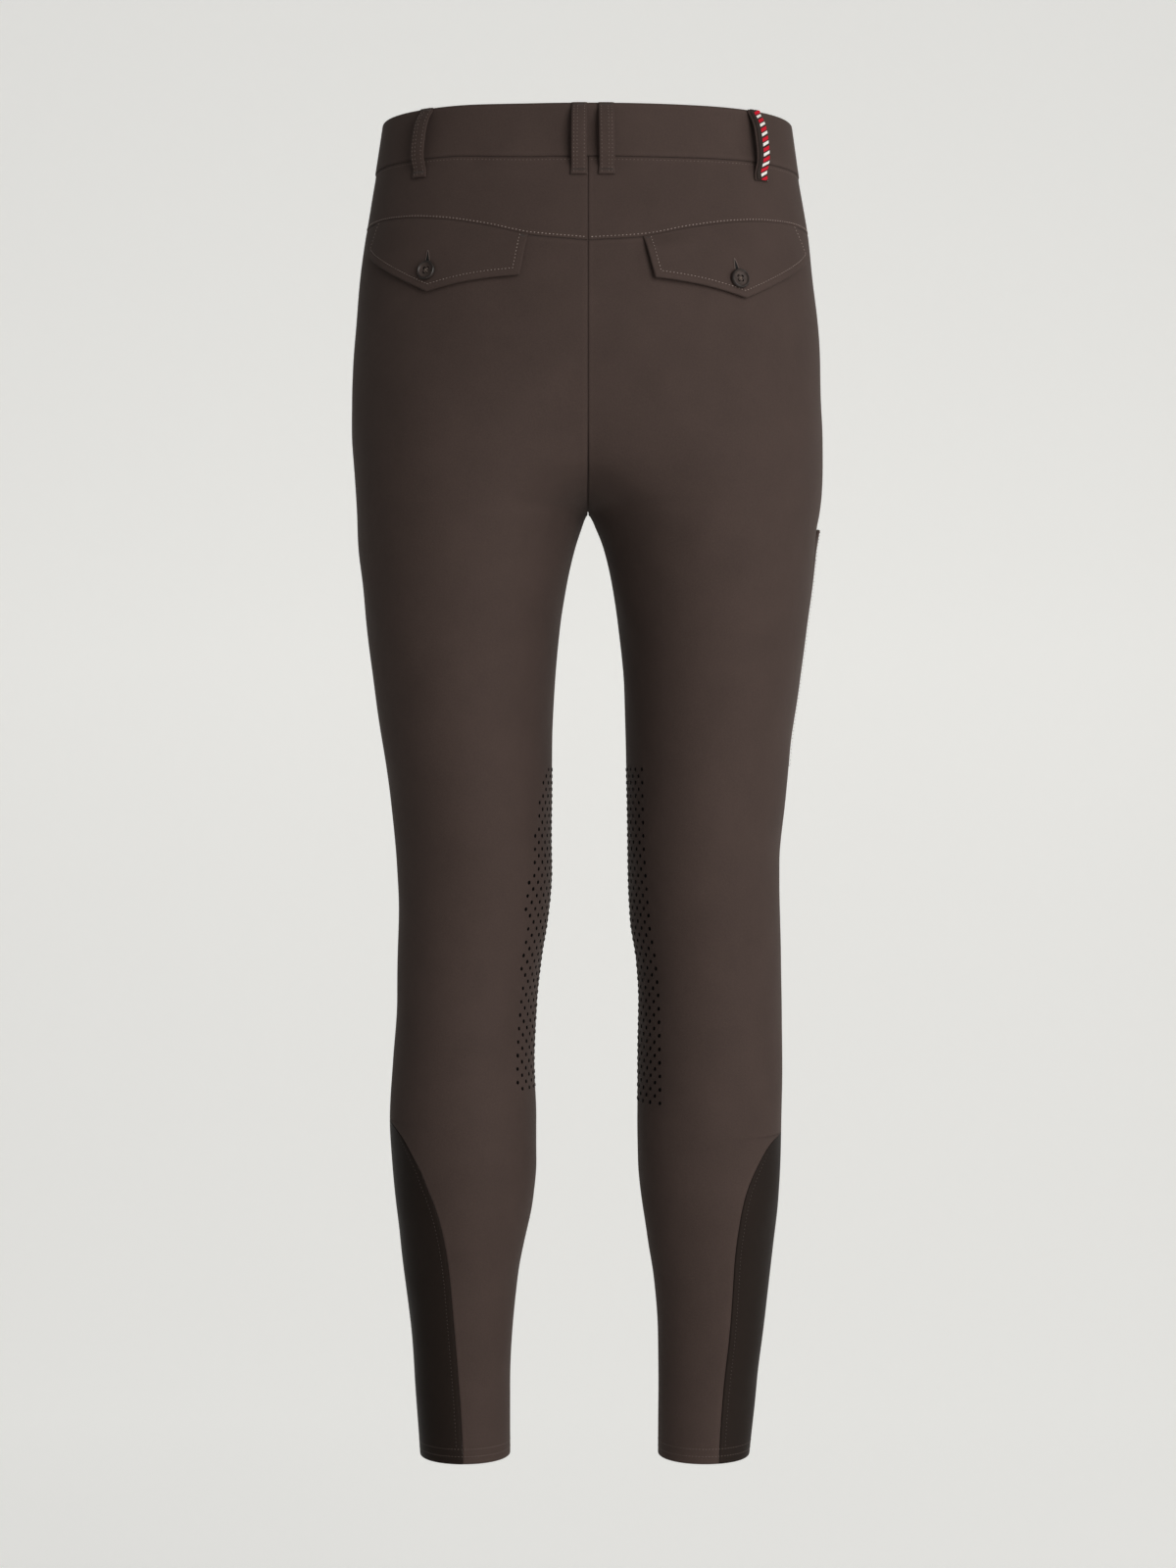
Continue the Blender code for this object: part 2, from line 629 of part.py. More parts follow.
def add_thigh_pocket():
    """A patch pocket over the right side seam, its top hem standing off a little."""
    grid = []
    for down in spread(0.0, 1.0, POCKET_ROWS):
        height = POCKET_TOP + (POCKET_BOTTOM - POCKET_TOP) * down
        row = []
        for across, angle in zip(spread(0.0, 1.0, POCKET_COLUMNS), spread(*POCKET_ANGLES, POCKET_COLUMNS)):
            middle = POCKET_EDGE_BULGE + (1 - POCKET_EDGE_BULGE) * sin(pi * across)
            bulge = POCKET_BULGE * (1 - down) ** 3 * middle
            row.append((RIGHT, angle, height, LAY_GAP + CLOTH + bulge, CLOTH))
        grid.append(row)
    return add_wall("thigh_pocket", grid, "cloth")


def main():
    for old in list(bpy.data.objects):
        bpy.data.objects.remove(old, do_unlink=True)
    add_waistband()
    for side, name in SIDE_NAMES:
        add_yoke(side, name)
        add_back(side, name)
        add_front(side, name)
        add_calf_panel(side, name)
        add_flap(side, name)
        add_flap_button(side, name)
    add_waist_button()
    for name, side, angle, bow in LOOPS:
        add_loop(name, side, angle, bow)
        if name == TAPED_LOOP:
            add_tape(side, angle, bow)
    add_thigh_pocket()


main()
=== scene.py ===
"""Men's riding breeches, filled out as worn, with nobody in them.

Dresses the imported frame: fine cloth, stitching, buttons and grip dots stand where the
frame's plain solids are. The axes are the frame's: +Z up, the back of the breeches faces
-Y, the wearer's right is +X, and the origin is the middle of the waist opening.
Sizes in this file are in millimetres and angles in degrees, except where a comment says so.

A place on the garment's surface is a side (RIGHT or LEFT), an angle round that side's oval
and a height. The angle is 0 at the inner leg, 90 at the back, 180 at the outermost point
and 270 at the front, so on the hips 90 is the centre back and 270 the centre front.
"""

from math import pi, radians

import bmesh
import bpy
import numpy as np
from bpy.props import FloatProperty, FloatVectorProperty, IntProperty, PointerProperty
from mathutils import Matrix, Vector


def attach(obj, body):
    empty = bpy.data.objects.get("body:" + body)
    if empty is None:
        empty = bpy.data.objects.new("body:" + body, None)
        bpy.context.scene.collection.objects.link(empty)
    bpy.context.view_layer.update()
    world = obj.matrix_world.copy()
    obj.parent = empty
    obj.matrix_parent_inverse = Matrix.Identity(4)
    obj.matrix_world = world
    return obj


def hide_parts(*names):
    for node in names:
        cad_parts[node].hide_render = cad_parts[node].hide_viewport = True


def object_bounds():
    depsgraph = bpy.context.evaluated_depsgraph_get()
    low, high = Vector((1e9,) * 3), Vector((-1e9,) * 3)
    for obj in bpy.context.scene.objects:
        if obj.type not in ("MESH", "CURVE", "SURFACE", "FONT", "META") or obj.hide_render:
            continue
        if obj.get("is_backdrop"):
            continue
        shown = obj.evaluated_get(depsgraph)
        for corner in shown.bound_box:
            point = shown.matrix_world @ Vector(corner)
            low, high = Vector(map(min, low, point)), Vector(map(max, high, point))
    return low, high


bl_info = {
    "name": "Riding Breeches",
    "version": (1, 0, 0),
    "blender": (4, 5, 0),
    "location": "3D View > Sidebar > Breeches",
    "description": "Fine cloth, stitching, buttons and grip dots for a pair of riding breeches",
    "category": "Object",
}

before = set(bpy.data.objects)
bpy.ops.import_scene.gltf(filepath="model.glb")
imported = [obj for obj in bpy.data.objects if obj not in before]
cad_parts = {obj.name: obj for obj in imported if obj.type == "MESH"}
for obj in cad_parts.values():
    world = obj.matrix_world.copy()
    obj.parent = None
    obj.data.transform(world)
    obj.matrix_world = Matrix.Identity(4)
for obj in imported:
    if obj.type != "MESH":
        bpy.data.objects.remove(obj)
FRAME_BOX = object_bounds()
BODY = "root"

MM = 0.001
RIGHT = 1
LEFT = -1
SIDE_NAMES = ((LEFT, "left"), (RIGHT, "right"))
SIDES = (LEFT, RIGHT)
ALL_EDGES = ("top", "bottom", "start", "end")

# The garment's form, as the frame's solids have it. Only the calf panels' edges run a little
# higher here, and the right one's tip.
SEAM_GAP = 0.3
HALF_GAP = 0.03
LAY_GAP = 0.5
BAND_TOP = 20.5
BAND_SEAM = -20.0
CROTCH = -277.0
HEM = -993.5
CALF_TIP = {LEFT: -736.0, RIGHT: -746.0}
SIDE_SEAM = 183.0

SECTION_COLUMNS = ("height", "outer_left", "outer_right", "inner_left", "inner_right", "back", "front")
SECTIONS = (
    (21.0, 156.5, 155.5, -156.0, -156.0, 90.0, 104.0),
    (-20.0, 162.5, 161.0, -162.0, -162.0, 95.0, 108.0),
    (-70.0, 170.5, 169.0, -170.0, -170.0, 108.0, 110.0),
    (-125.0, None, None, -178.0, -178.0, None, None),
    (-130.0, 176.5, 175.0, None, None, 119.0, 109.0),
    (-165.0, 178.8, 177.2, -300.0, -300.0, 123.5, 107.0),
    (-190.0, 179.3, 177.8, -380.0, -380.0, 125.5, 105.0),
    (-215.0, 179.3, 178.4, -290.0, -290.0, 126.0, 103.0),
    (-240.0, 178.3, 178.0, -120.0, -120.0, 124.0, 100.5),
    (-262.0, 177.2, 177.0, -28.0, -28.0, 120.0, 98.0),
    (-270.0, None, None, -10.5, -10.5, None, None),
    (CROTCH, 176.3, 175.6, 0.15, 0.15, 116.0, 97.0),
    (-288.0, None, 173.9, 4.6, 5.8, None, None),
    (-302.0, 174.8, 172.9, 9.2, 11.4, 109.5, 95.0),
    (-332.0, 171.8, 170.6, 16.4, 18.4, 103.0, 93.0),
    (-362.0, 168.8, 166.9, 21.7, 23.0, None, None),
    (-407.0, 162.8, 160.9, 25.4, 27.0, 90.0, 87.0),
    (-452.0, 156.8, 153.9, 27.9, 29.3, 82.0, 82.0),
    (-497.0, 150.8, 150.8, 27.5, 30.0, None, None),
    (-542.0, 146.3, 146.8, 27.4, 31.0, 71.0, 76.0),
    (-587.0, 145.5, 147.4, 31.1, 32.3, 65.0, 73.0),
    (-617.0, 145.5, 148.1, 35.6, 36.6, 62.0, 71.0),
    (-647.0, 145.8, 148.2, 39.3, 38.3, 63.0, 66.0),
    (-692.0, 148.5, 147.6, 41.1, 38.0, 69.0, 56.0),
    (-737.0, 150.8, 147.0, 38.9, 37.4, 72.0, 48.0),
    (-767.0, 149.3, 146.3, 38.8, 38.4, None, None),
    (-797.0, 147.0, 144.9, 42.1, 41.0, 67.0, 40.0),
    (-827.0, 143.3, 141.8, 48.0, 45.3, None, None),
    (-857.0, 139.5, 138.5, 53.5, 50.0, 56.0, 36.0),
    (-902.0, 134.5, 133.3, 57.9, 53.0, 49.0, 35.0),
    (-942.0, 131.3, 128.2, 59.2, 53.4, 45.0, 36.0),
    (HEM, 128.3, 123.3, 59.3, 53.6, 44.0, 39.0),
)
FULLEST_COLUMNS = ("height", "fullest")
FULLEST = (
    (21.0, 0.0), (-125.0, 0.0), (-165.0, 20.0), (-190.0, 40.0), (-215.0, 58.0), (-240.0, 74.0),
    (-262.0, 84.0), (CROTCH, 88.2), (-302.0, 92.5),
)
LEGS_START = -302.0
RISE_COLUMNS = ("angle", "rise_left", "rise_right")
WAIST_RISE = (
    (0.0, 0.0, 0.0), (14.0, 0.0, 0.0), (24.0, 0.9, 0.2), (38.0, 3.0, 1.0), (52.0, 3.5, 1.6),
    (75.0, 4.0, 1.6), (95.0, 3.6, 1.4), (135.0, 0.0, 0.0), (180.0, 0.0, 0.0),
)
RISE_START = -60.0
RISE_FULL = -28.0
RISE_TOP = 0.4
SQUARENESS_COLUMNS = ("height", "squareness")
SQUARENESS = ((21.0, 0.15), (-165.0, 0.15), (CROTCH, 0.08), (-400.0, 0.03), (HEM, 0.03))
LEVEL_ROW = -120.0
HALVED_FROM = (-225.0, -262.0)
HALVED_TO = (-650.0, -500.0)
# How much of the cloth's unevenness is left at the waist, and what is taken off at a hem.
EASE_AT_WAIST = 0.25
EASE_HEIGHTS = (-40.0, -110.0)
EASE_AT_HEM = 0.6

CALF_COLUMNS = ("below_tip", "spread_left", "spread_right")
CALF_EDGES = (
    (0.0, 0.0, 0.0), (1.5, 15.0, 19.0), (4.0, 25.0, 29.5), (7.0, 30.5, 35.0),
    (15.0, 38.8, 42.8), (25.0, 46.2, 50.4), (35.0, 53.2, 56.2), (47.0, 59.0, 61.0),
    (60.0, 65.3, 64.2), (76.0, 70.8, 66.5), (95.0, 75.1, 68.2), (119.0, 78.6, 68.9),
    (150.0, 81.4, 69.5), (190.0, 84.4, 71.0), (225.0, 86.5, 71.4), (257.5, 88.0, 71.2),
)
CALF_TIP_WIDTH = 3.0

YOKE_COLUMNS = ("angle", "drop_left", "drop_right")
YOKE_SEAM = (
    (0.0, 84.5, 84.5), (14.0, 80.3, 81.3), (26.0, 72.2, 74.2), (38.0, 66.0, 68.5),
    (52.0, 62.0, 64.8), (70.0, 60.4, 63.2), (95.0, 61.2, 64.0),
)

# The fly: how far the left front laps over the middle and the right one under it, the heights
# between which the lap ends and lies flat, and how far and how wide the left front stands out.
FLY_OVER = 8.0
FLY_UNDER = 6.0
FLY_END = -165.0
FLY_CLOSED = -180.0
FLY_FLAT = -200.0
FLY_LIFT = 2.3
FLY_COLUMN = 18.0
# The waistband laps in the same way. It stands proud of the cloth below it, and rises to its lap.
BAND_OVER = 28.0
BAND_UNDER = 12.0
BAND_PROUD = 0.8
BAND_LIFT = 2.9
BAND_RAMP = (-45.0, -16.0)

# The sewn edges inside: how far they reach from a centre seam, their cloth, how deep their outer
# face lies, and where the one behind the waist seam starts and ends.
ALLOWANCE_REACH = 5.2
ALLOWANCE_CLOTH = 0.6
ALLOWANCE_DEPTH = 1.6
WAIST_ALLOWANCE_X = (-60.0, -13.5)

# The flaps' corners: angle past 90 and height, or the angle alone at the yoke seam. Then their cloth
# at the seam and below it, how far they stand off, the hollow and the place of the point along
# their free edge, and how far the inner corner stands off besides.
FLAP_CORNERS = {
    LEFT: {"bottom_in": (16.5, -111.2), "point": (41.9, -120.5), "bottom_out": (74.1, -82.8),
           "top_in": 14.8, "top_out": 69.1},
    RIGHT: {"bottom_in": (16.2, -113.5), "point": (41.1, -125.8), "bottom_out": (76.2, -85.3),
            "top_in": 13.7, "top_out": 68.0},
}
FLAP_TOP_CLOTH = 1.0
FLAP_CLOTH = 2.0
FLAP_THICKENS_BY = 0.25
FLAP_STAND = 1.4
FLAP_HOLLOW = 1.6
FLAP_SHARE_IN = 6.0 / 13.0
FLAP_CORNER_STAND = {LEFT: 0.3, RIGHT: 1.8}

BUTTON_GAP = 0.7
FLAP_BUTTON_PLACES = {LEFT: (42.1, -104.9), RIGHT: (39.1, -111.9)}
FLAP_BUTTON_WIDTH = 15.0
WAIST_BUTTON_WIDTH = 17.0
WAIST_BUTTON_X = 14.0

# Belt loops: node, side, angle past 90, and how far they bow out.
LOOPS = (
    ("loop_back_left", LEFT, 2.3, 6.0),
    ("loop_back_right", RIGHT, 4.9, 6.0),
    ("loop_side_left", LEFT, 49.5, 5.5),
    ("loop_side_right", RIGHT, 52.0, 5.5),
    ("loop_front_left", LEFT, 148.0, 6.5),
    ("loop_front_right", RIGHT, 148.0, 6.5),
)
LOOP_GAP = 0.4
LOOP_WIDTH = 11.5
LOOP_CLOTH = 1.6
LOOP_TOP = 21.5
LOOP_BOTTOM = -33.5
STRAP_TOP = LOOP_TOP - 1.5
STRAP_FOOT = LOOP_BOTTOM - 0.9
STRAP_SPREAD = 0.12
LOOP_TACK = 4.5
LOOP_STEP = 8.0
LOOP_DOME = 0.35
TAPED_LOOP = "loop_side_right"
TAPE_WIDTH = 9.5
TAPE_CLOTH = 1.0

POCKET_TOP = -288.0
POCKET_BOTTOM = -470.0
POCKET_LENGTH = POCKET_TOP - POCKET_BOTTOM
POCKET_WIDTH = 84.0
POCKET_ANGLES = (178.8, 231.0)
POCKET_BULGE = 2.2
POCKET_TURNS_IN = 3.2

# Stitched rows: how far each lies from its seam or free edge.
YOKE_ROW = 2.2
WAIST_ROW = 2.4
FLAP_ROW = 5.6
CALF_ROW = 4.6
POCKET_ROW = 2.2
HEM_ROWS = (5.9, 11.4)
FLY_ROW = 31.0
# On a loop: the rows' places across it, and the bar tacks' places below its top and above its foot.
LOOP_ROWS = (-3.8, 1.3, 3.8)
TACK_PLACES = (3.2, 2.6)
TACK_HALF_WIDTH = 4.6
TACK_LENGTH = 1.9
# Thread's share of the distance from one stitch to the next.
STITCH_SHARE = 0.42

# Soft unevenness of the cloth: waves as (direction, length, height, start), where the
# direction need not be of unit length.
WAVES = (
    ((0.9, 0.2, 0.5), 118.0, 0.34, 0.4),
    ((-0.4, 0.5, 0.8), 87.0, 0.26, 2.1),
    ((0.3, -0.7, 0.6), 66.0, 0.18, 4.0),
    ((-0.8, -0.3, 0.4), 53.0, 0.13, 1.3),
    ((0.2, 0.9, -0.7), 41.0, 0.09, 5.2),
)
# Soft creases: (side, angle and height of one end, of the other, half width, height).
CREASES = (
    (RIGHT, (52.0, -262.0), (104.0, -300.0), 13.0, 1.0),
    (RIGHT, (38.0, -282.0), (88.0, -352.0), 11.0, 0.8),
    (LEFT, (50.0, -262.0), (100.0, -305.0), 13.0, 0.9),
    (LEFT, (36.0, -285.0), (84.0, -360.0), 11.0, 0.8),
    (RIGHT, (55.0, -606.0), (128.0, -596.0), 10.0, 0.8),
    (RIGHT, (70.0, -636.0), (140.0, -628.0), 9.0, 0.6),
    (LEFT, (60.0, -600.0), (132.0, -612.0), 10.0, 0.8),
    (LEFT, (48.0, -634.0), (120.0, -642.0), 9.0, 0.6),
    (RIGHT, (226.0, -255.0), (292.0, -240.0), 12.0, 1.0),
    (LEFT, (226.0, -252.0), (292.0, -238.0), 12.0, 1.0),
    (LEFT, (28.0, -952.0), (74.0, -966.0), 7.0, 0.9),
)
CREASE_BOW = 3.5


# Curves and the surface -----------------------------------------------------------------


class Curve:
    """A curve through (x, y) points with no overshoot, which runs on straight past its ends."""

    def __init__(self, points):
        self.xs, self.ys = (np.array(values, float) for values in zip(*sorted(points)))
        self.steps = np.diff(self.xs)
        slopes = np.diff(self.ys) / self.steps
        tangents = np.concatenate([slopes[:1], np.zeros(len(slopes) - 1), slopes[-1:]])
        for i in range(1, len(slopes)):
            before, after = slopes[i - 1], slopes[i]
            if before * after > 0:
                first = 2 * self.steps[i] + self.steps[i - 1]
                second = self.steps[i] + 2 * self.steps[i - 1]
                tangents[i] = (first + second) / (first / before + second / after)
        self.tangents = tangents

    def __call__(self, x):
        x = np.asarray(x, float)
        i = np.clip(np.searchsorted(self.xs, x) - 1, 0, len(self.steps) - 1)
        step = self.steps[i]
        t = np.clip((x - self.xs[i]) / step, 0.0, 1.0)
        blend = t * t * (3 - 2 * t)
        value = self.ys[i] * (1 - blend) + self.ys[i + 1] * blend
        value = value + t * (1 - t) ** 2 * step * self.tangents[i]
        value = value + t * t * (t - 1) * step * self.tangents[i + 1]
        value = value + self.tangents[0] * np.minimum(x - self.xs[0], 0.0)
        return value + self.tangents[-1] * np.maximum(x - self.xs[-1], 0.0)


def column(table, columns, name):
    """The curve of one column of a table against its first column."""
    i = columns.index(name)
    return Curve([(row[0], row[i]) for row in table if row[i] is not None])


def smooth_step(value, start, end):
    """0 at start, 1 at end, and smooth between them."""
    t = np.clip((np.asarray(value, float) - start) / (end - start), 0.0, 1.0)
    return t * t * (3 - 2 * t)


OUTER = {side: column(SECTIONS, SECTION_COLUMNS, f"outer_{name}") for side, name in SIDE_NAMES}
INNER = {side: column(SECTIONS, SECTION_COLUMNS, f"inner_{name}") for side, name in SIDE_NAMES}
BACK = column(SECTIONS, SECTION_COLUMNS, "back")
FRONT = column(SECTIONS, SECTION_COLUMNS, "front")
FULLEST_OUT = column(FULLEST, FULLEST_COLUMNS, "fullest")
SQUARE = column(SQUARENESS, SQUARENESS_COLUMNS, "squareness")
YOKE_DROP = {side: column(YOKE_SEAM, YOKE_COLUMNS, f"drop_{name}") for side, name in SIDE_NAMES}
CALF_SPREAD = {side: column(CALF_EDGES, CALF_COLUMNS, f"spread_{name}") for side, name in SIDE_NAMES}
RISE = {side: column(WAIST_RISE, RISE_COLUMNS, f"rise_{name}") for side, name in SIDE_NAMES}


def by_side(curves, side, x):
    """The value of each place's own side, from a curve for each."""
    return np.where(np.asarray(side) > 0, curves[RIGHT](x), curves[LEFT](x))


def section(side, height):
    """A side's oval: where it is fullest, its width inwards and outwards from there, the middle
    and half of its depth, and its squareness."""
    outer = by_side(OUTER, side, height)
    inner = by_side(INNER, side, height)
    hips = smooth_step(height, LEGS_START, CROTCH)
    fullest = FULLEST_OUT(height) * hips + (outer + inner) / 2 * (1 - hips)
    back, front = BACK(height), FRONT(height)
    centre, half_depth = (front - back) / 2, (front + back) / 2
    return fullest, fullest - inner, outer - fullest, centre, half_depth, SQUARE(height)


def waist_rise(side, angle, height):
    """How far the surface is drawn up at this angle and height."""
    drawn = smooth_step(height, RISE_START, RISE_FULL)
    drawn = drawn * (1 - (1 - RISE_TOP) * smooth_step(height, BAND_SEAM, BAND_TOP))
    return by_side(RISE, side, np.clip(np.asarray(angle, float) - 90.0, 0.0, 180.0)) * drawn


def plain_point(side, angle, height):
    """The point of the plain form at this place, before the cloth's waves and creases."""
    fullest, width_in, width_out, centre, half_depth, square = section(side, height)
    turn = np.radians(angle)
    cosine = np.cos(turn)
    across = fullest - np.where(cosine > 0, width_in, width_out) * cosine
    deep = centre - half_depth * np.sin(turn) * (1 + square * cosine**2)
    level = height + waist_rise(side, angle, height)
    return np.stack(np.broadcast_arrays(side * across, deep, level), axis=-1).astype(float)


def unit(vectors):
    """The vectors at a length of 1."""
    return vectors / np.maximum(np.linalg.norm(vectors, axis=-1, keepdims=True), 1e-9)


def plain_normal(side, angle, height):
    """The direction out from the plain form, of length 1."""
    along = plain_point(side, angle + 0.5, height) - plain_point(side, angle - 0.5, height)
    up = plain_point(side, angle, height + 1) - plain_point(side, angle, height - 1)
    return unit(np.cross(along, up) * np.asarray(side, float)[..., None])


def crease_relief(points):
    """Soft rounded folds along short lines, each fading out towards its ends."""
    total = np.zeros(points.shape[:-1])
    for side, start, end, half_width, rise in CREASES:
        first = plain_point(side, start[0], start[1])
        last = plain_point(side, end[0], end[1])
        line = last - first
        length = np.linalg.norm(line)
        along = ((points - first) @ line) / length**2
        nearest = first + np.clip(along, 0.0, 1.0)[..., None] * line
        away = np.linalg.norm(points - nearest, axis=-1)
        arch = np.sin(pi * np.clip(along, 0.0, 1.0))
        across = np.maximum(away - CREASE_BOW * arch, 0.0) / half_width
        total += rise * arch**2 * np.exp(-(across**2))
    return total


def relief(points):
    """How far the cloth stands out from its plain form, small at the waist and the hems."""
    total = np.zeros(points.shape[:-1])
    for direction, length, rise, start in WAVES:
        phase = points @ (np.array(direction) / np.linalg.norm(direction)) * (2 * pi / length)
        total += rise * np.sin(phase + start + 0.6 * np.sin(phase * 0.37 + start * 2))
    height = points[..., 2]
    ease = EASE_AT_WAIST + (1 - EASE_AT_WAIST) * smooth_step(height, *EASE_HEIGHTS)
    ease = ease * (1 - EASE_AT_HEM * smooth_step(height, HEM + 60.0, HEM))
    return (total + crease_relief(points)) * ease


def place(side, angle, height, lift=0.0):
    """The point that lies lift out from the cloth's surface."""
    points = plain_point(side, angle, height)
    rise = relief(points) + lift
    return points + plain_normal(side, angle, height) * np.asarray(rise, float)[..., None]


def angle_for(side, angle, height, distance):
    """The angle that a distance along the surface spans at this place."""
    ahead = plain_point(side, angle + 0.5, height) - plain_point(side, angle - 0.5, height)
    return distance / np.linalg.norm(ahead, axis=-1)


def angle_at_x(side, height, past):
    """Angle of the place at the back that lies past mm beyond the middle plane, or 0 where the
    leg doesn't reach that plane."""
    fullest, width_in = section(side, height)[:2]
    return np.degrees(np.arccos(np.minimum((fullest + past) / width_in, 1.0)))


def inner_edge(side, height):
    """Where a back panel starts: the centre back seam, or the inseam."""
    return np.maximum(angle_at_x(side, height, -HALF_GAP), angle_for(side, 0.0, height, HALF_GAP))


def fly_reach(side, height):
    """How far a front panel goes past the middle plane."""
    reach = FLY_OVER if side == LEFT else FLY_UNDER
    closed = smooth_step(height, FLY_END, FLY_CLOSED)
    return reach * (1 - closed) - HALF_GAP * closed


def front_edge(side, height):
    """Where a front panel ends: the fly, the centre front seam, or the inseam."""
    clipped = angle_at_x(side, height, fly_reach(side, height))
    return 360.0 - np.maximum(clipped, angle_for(side, 360.0, height, HALF_GAP))


def calf_edges(side, height):
    """Angles of a calf panel's back and front edge, or of the side seam above the tip."""
    height = np.asarray(height, float)
    below = CALF_TIP[side] - height
    tip = angle_for(side, SIDE_SEAM, height, CALF_TIP_WIDTH / 2)
    to_outermost = (SIDE_SEAM - 180.0) * smooth_step(below, 15.0, 0.0)
    back = 180.0 + to_outermost - CALF_SPREAD[side](below) - tip
    front = 180.0 + to_outermost + CALF_SPREAD[-side](below) + tip
    above = below < 0
    return np.where(above, SIDE_SEAM, back), np.where(above, SIDE_SEAM, front)


def yoke_seam(side, shift):
    """Height of the yoke seam against the angle, moved by shift."""
    return lambda angle: shift - YOKE_DROP[side](np.asarray(angle, float) - 90.0)


def fly_lift(side, angle, height):
    """How far the left front stands out where it laps over the right one at the fly."""
    if side == RIGHT:
        return np.zeros(np.broadcast(angle, height).shape)
    end = front_edge(side, height)
    away = (end - angle) / angle_for(side, end, height, 1.0)
    open_fly = smooth_step(height, FLY_FLAT, FLY_CLOSED)
    return FLY_LIFT * open_fly * smooth_step(away, 2 * FLY_COLUMN, FLY_COLUMN)


def pocket_place(across, down):
    """Angle, height and lift of the thigh pocket's outer face, less its cloth: across is 0 at its
    back edge and 1 at its front one, down is 0 at its opening and 1 at its lower edge."""
    start = POCKET_ANGLES[0] + POCKET_TURNS_IN * smooth_step(down, 0.02, 0.09)
    angle = start + (POCKET_ANGLES[1] - start) * across
    height = POCKET_TOP + (POCKET_BOTTOM - POCKET_TOP) * down
    arch = np.sin(pi * across)
    bulge = (1 - down) ** 3 * arch + (1 - down) ** 9 * 0.5 * (1 - arch)
    return angle, height, LAY_GAP + POCKET_BULGE * bulge


def band_angle(side, height, past):
    """Angle at the front of the waistband that lies past mm beyond the middle plane."""
    return 360.0 - angle_at_x(side, height, past)


def band_lift(side, angle, height):
    """The waistband's outer face: its left end lies on top of the right one at the front."""
    x = plain_point(side, angle, height)[..., 0]
    on_lap = (np.asarray(side) == LEFT) & (np.asarray(angle) >= 180.0)
    return BAND_PROUD + np.where(on_lap, BAND_LIFT * smooth_step(x, *BAND_RAMP), 0.0)


def flap_lift(down):
    """Outer face and cloth of a flap, down being 0 at the seam and 1 at the free edge."""
    cloth = FLAP_TOP_CLOTH + (FLAP_CLOTH - FLAP_TOP_CLOTH) * smooth_step(down, 0.0, FLAP_THICKENS_BY)
    return LAY_GAP + cloth + FLAP_STAND * np.asarray(down) ** 2, cloth


def loop_dome(offset, width):
    """How far a strap of this width stands out across its middle."""
    return LOOP_DOME * (1 - (2 * offset / width) ** 2)


def loop_lift(height, bow):
    """Inner face of a belt loop: flat at its two tacked ends and bowed out between them."""
    t = (LOOP_TOP - LOOP_TACK - height) / (LOOP_TOP - LOOP_BOTTOM - 2 * LOOP_TACK)
    stand = bow * (1 - np.abs(2 * np.clip(t, 0.0, 1.0) - 1) ** 3)
    return LOOP_GAP + BAND_PROUD * smooth_step(height, BAND_SEAM - LOOP_STEP, BAND_SEAM) + stand


# Grids and cloth walls ------------------------------------------------------------------


def graded(length, step, first=True, last=True):
    """Distances from 0 to length in even steps, with close ones beside the chosen ends."""
    close = (0.0, 0.35, 0.8, 1.4, 2.2, 3.4)
    start = list(close) if first else [0.0]
    end = [length - d for d in reversed(close)] if last else [length]
    count = max(int(round((end[0] - start[-1]) / step)), 1)
    middle = [start[-1] + (end[0] - start[-1]) * i / count for i in range(1, count)]
    return np.array(start + middle + end)


def run_lengths(points, axis):
    """Distance walked along the grid's lines up to each point."""
    steps = np.linalg.norm(np.diff(points, axis=axis), axis=-1)
    start = np.zeros_like(np.take(steps, [0], axis=axis))
    return np.concatenate([start, np.cumsum(steps, axis=axis)], axis=axis)


class Grid:
    """Rows of places on the surface, from the top down, with the cloth that lies on them."""

    def __init__(self, side, angle, height, lift=0.0, cloth=1.5):
        shape = np.broadcast(side, angle, height, lift, cloth).shape
        self.side = np.broadcast_to(side, shape)
        self.angle = np.broadcast_to(angle, shape).astype(float)
        self.height = np.broadcast_to(height, shape).astype(float)
        self.lift = np.broadcast_to(lift, shape).astype(float)
        self.cloth = np.broadcast_to(cloth, shape).astype(float)

    def points(self, lift=0.0):
        return place(self.side, self.angle, self.height, self.lift + lift)


def turned_in(distance, reach, depth):
    """How far a face drops towards an edge, round like the outside of a fold."""
    t = np.clip(1 - distance / reach, 0.0, 1.0)
    return depth * (1 - np.sqrt(np.maximum(1 - t * t, 0.0)))


# How far from a seam the cloth starts to turn in, and how deep it lies there, in mm: at an
# open seam, and at one that is pressed flat.
OPEN_SEAM = (1.6, 0.6)
FLAT_SEAM = (1.1, 0.28)


def wall_faces(rows, columns):
    """Faces of a closed wall between two grids of points, the outer one's points first."""
    count = rows * columns
    index = np.arange(count).reshape(rows, columns)
    corners = (index[:-1, :-1], index[1:, :-1], index[1:, 1:], index[:-1, 1:])
    front = np.stack(corners, axis=-1).reshape(-1, 4)
    back = front[:, ::-1] + count
    rim = np.concatenate([index[0, :-1], index[:-1, -1], index[-1, :0:-1], index[:0:-1, 0]])
    ahead = np.roll(rim, -1)
    edge = np.stack([rim, ahead, ahead + count, rim + count], axis=-1)
    return np.concatenate([front, back, edge])


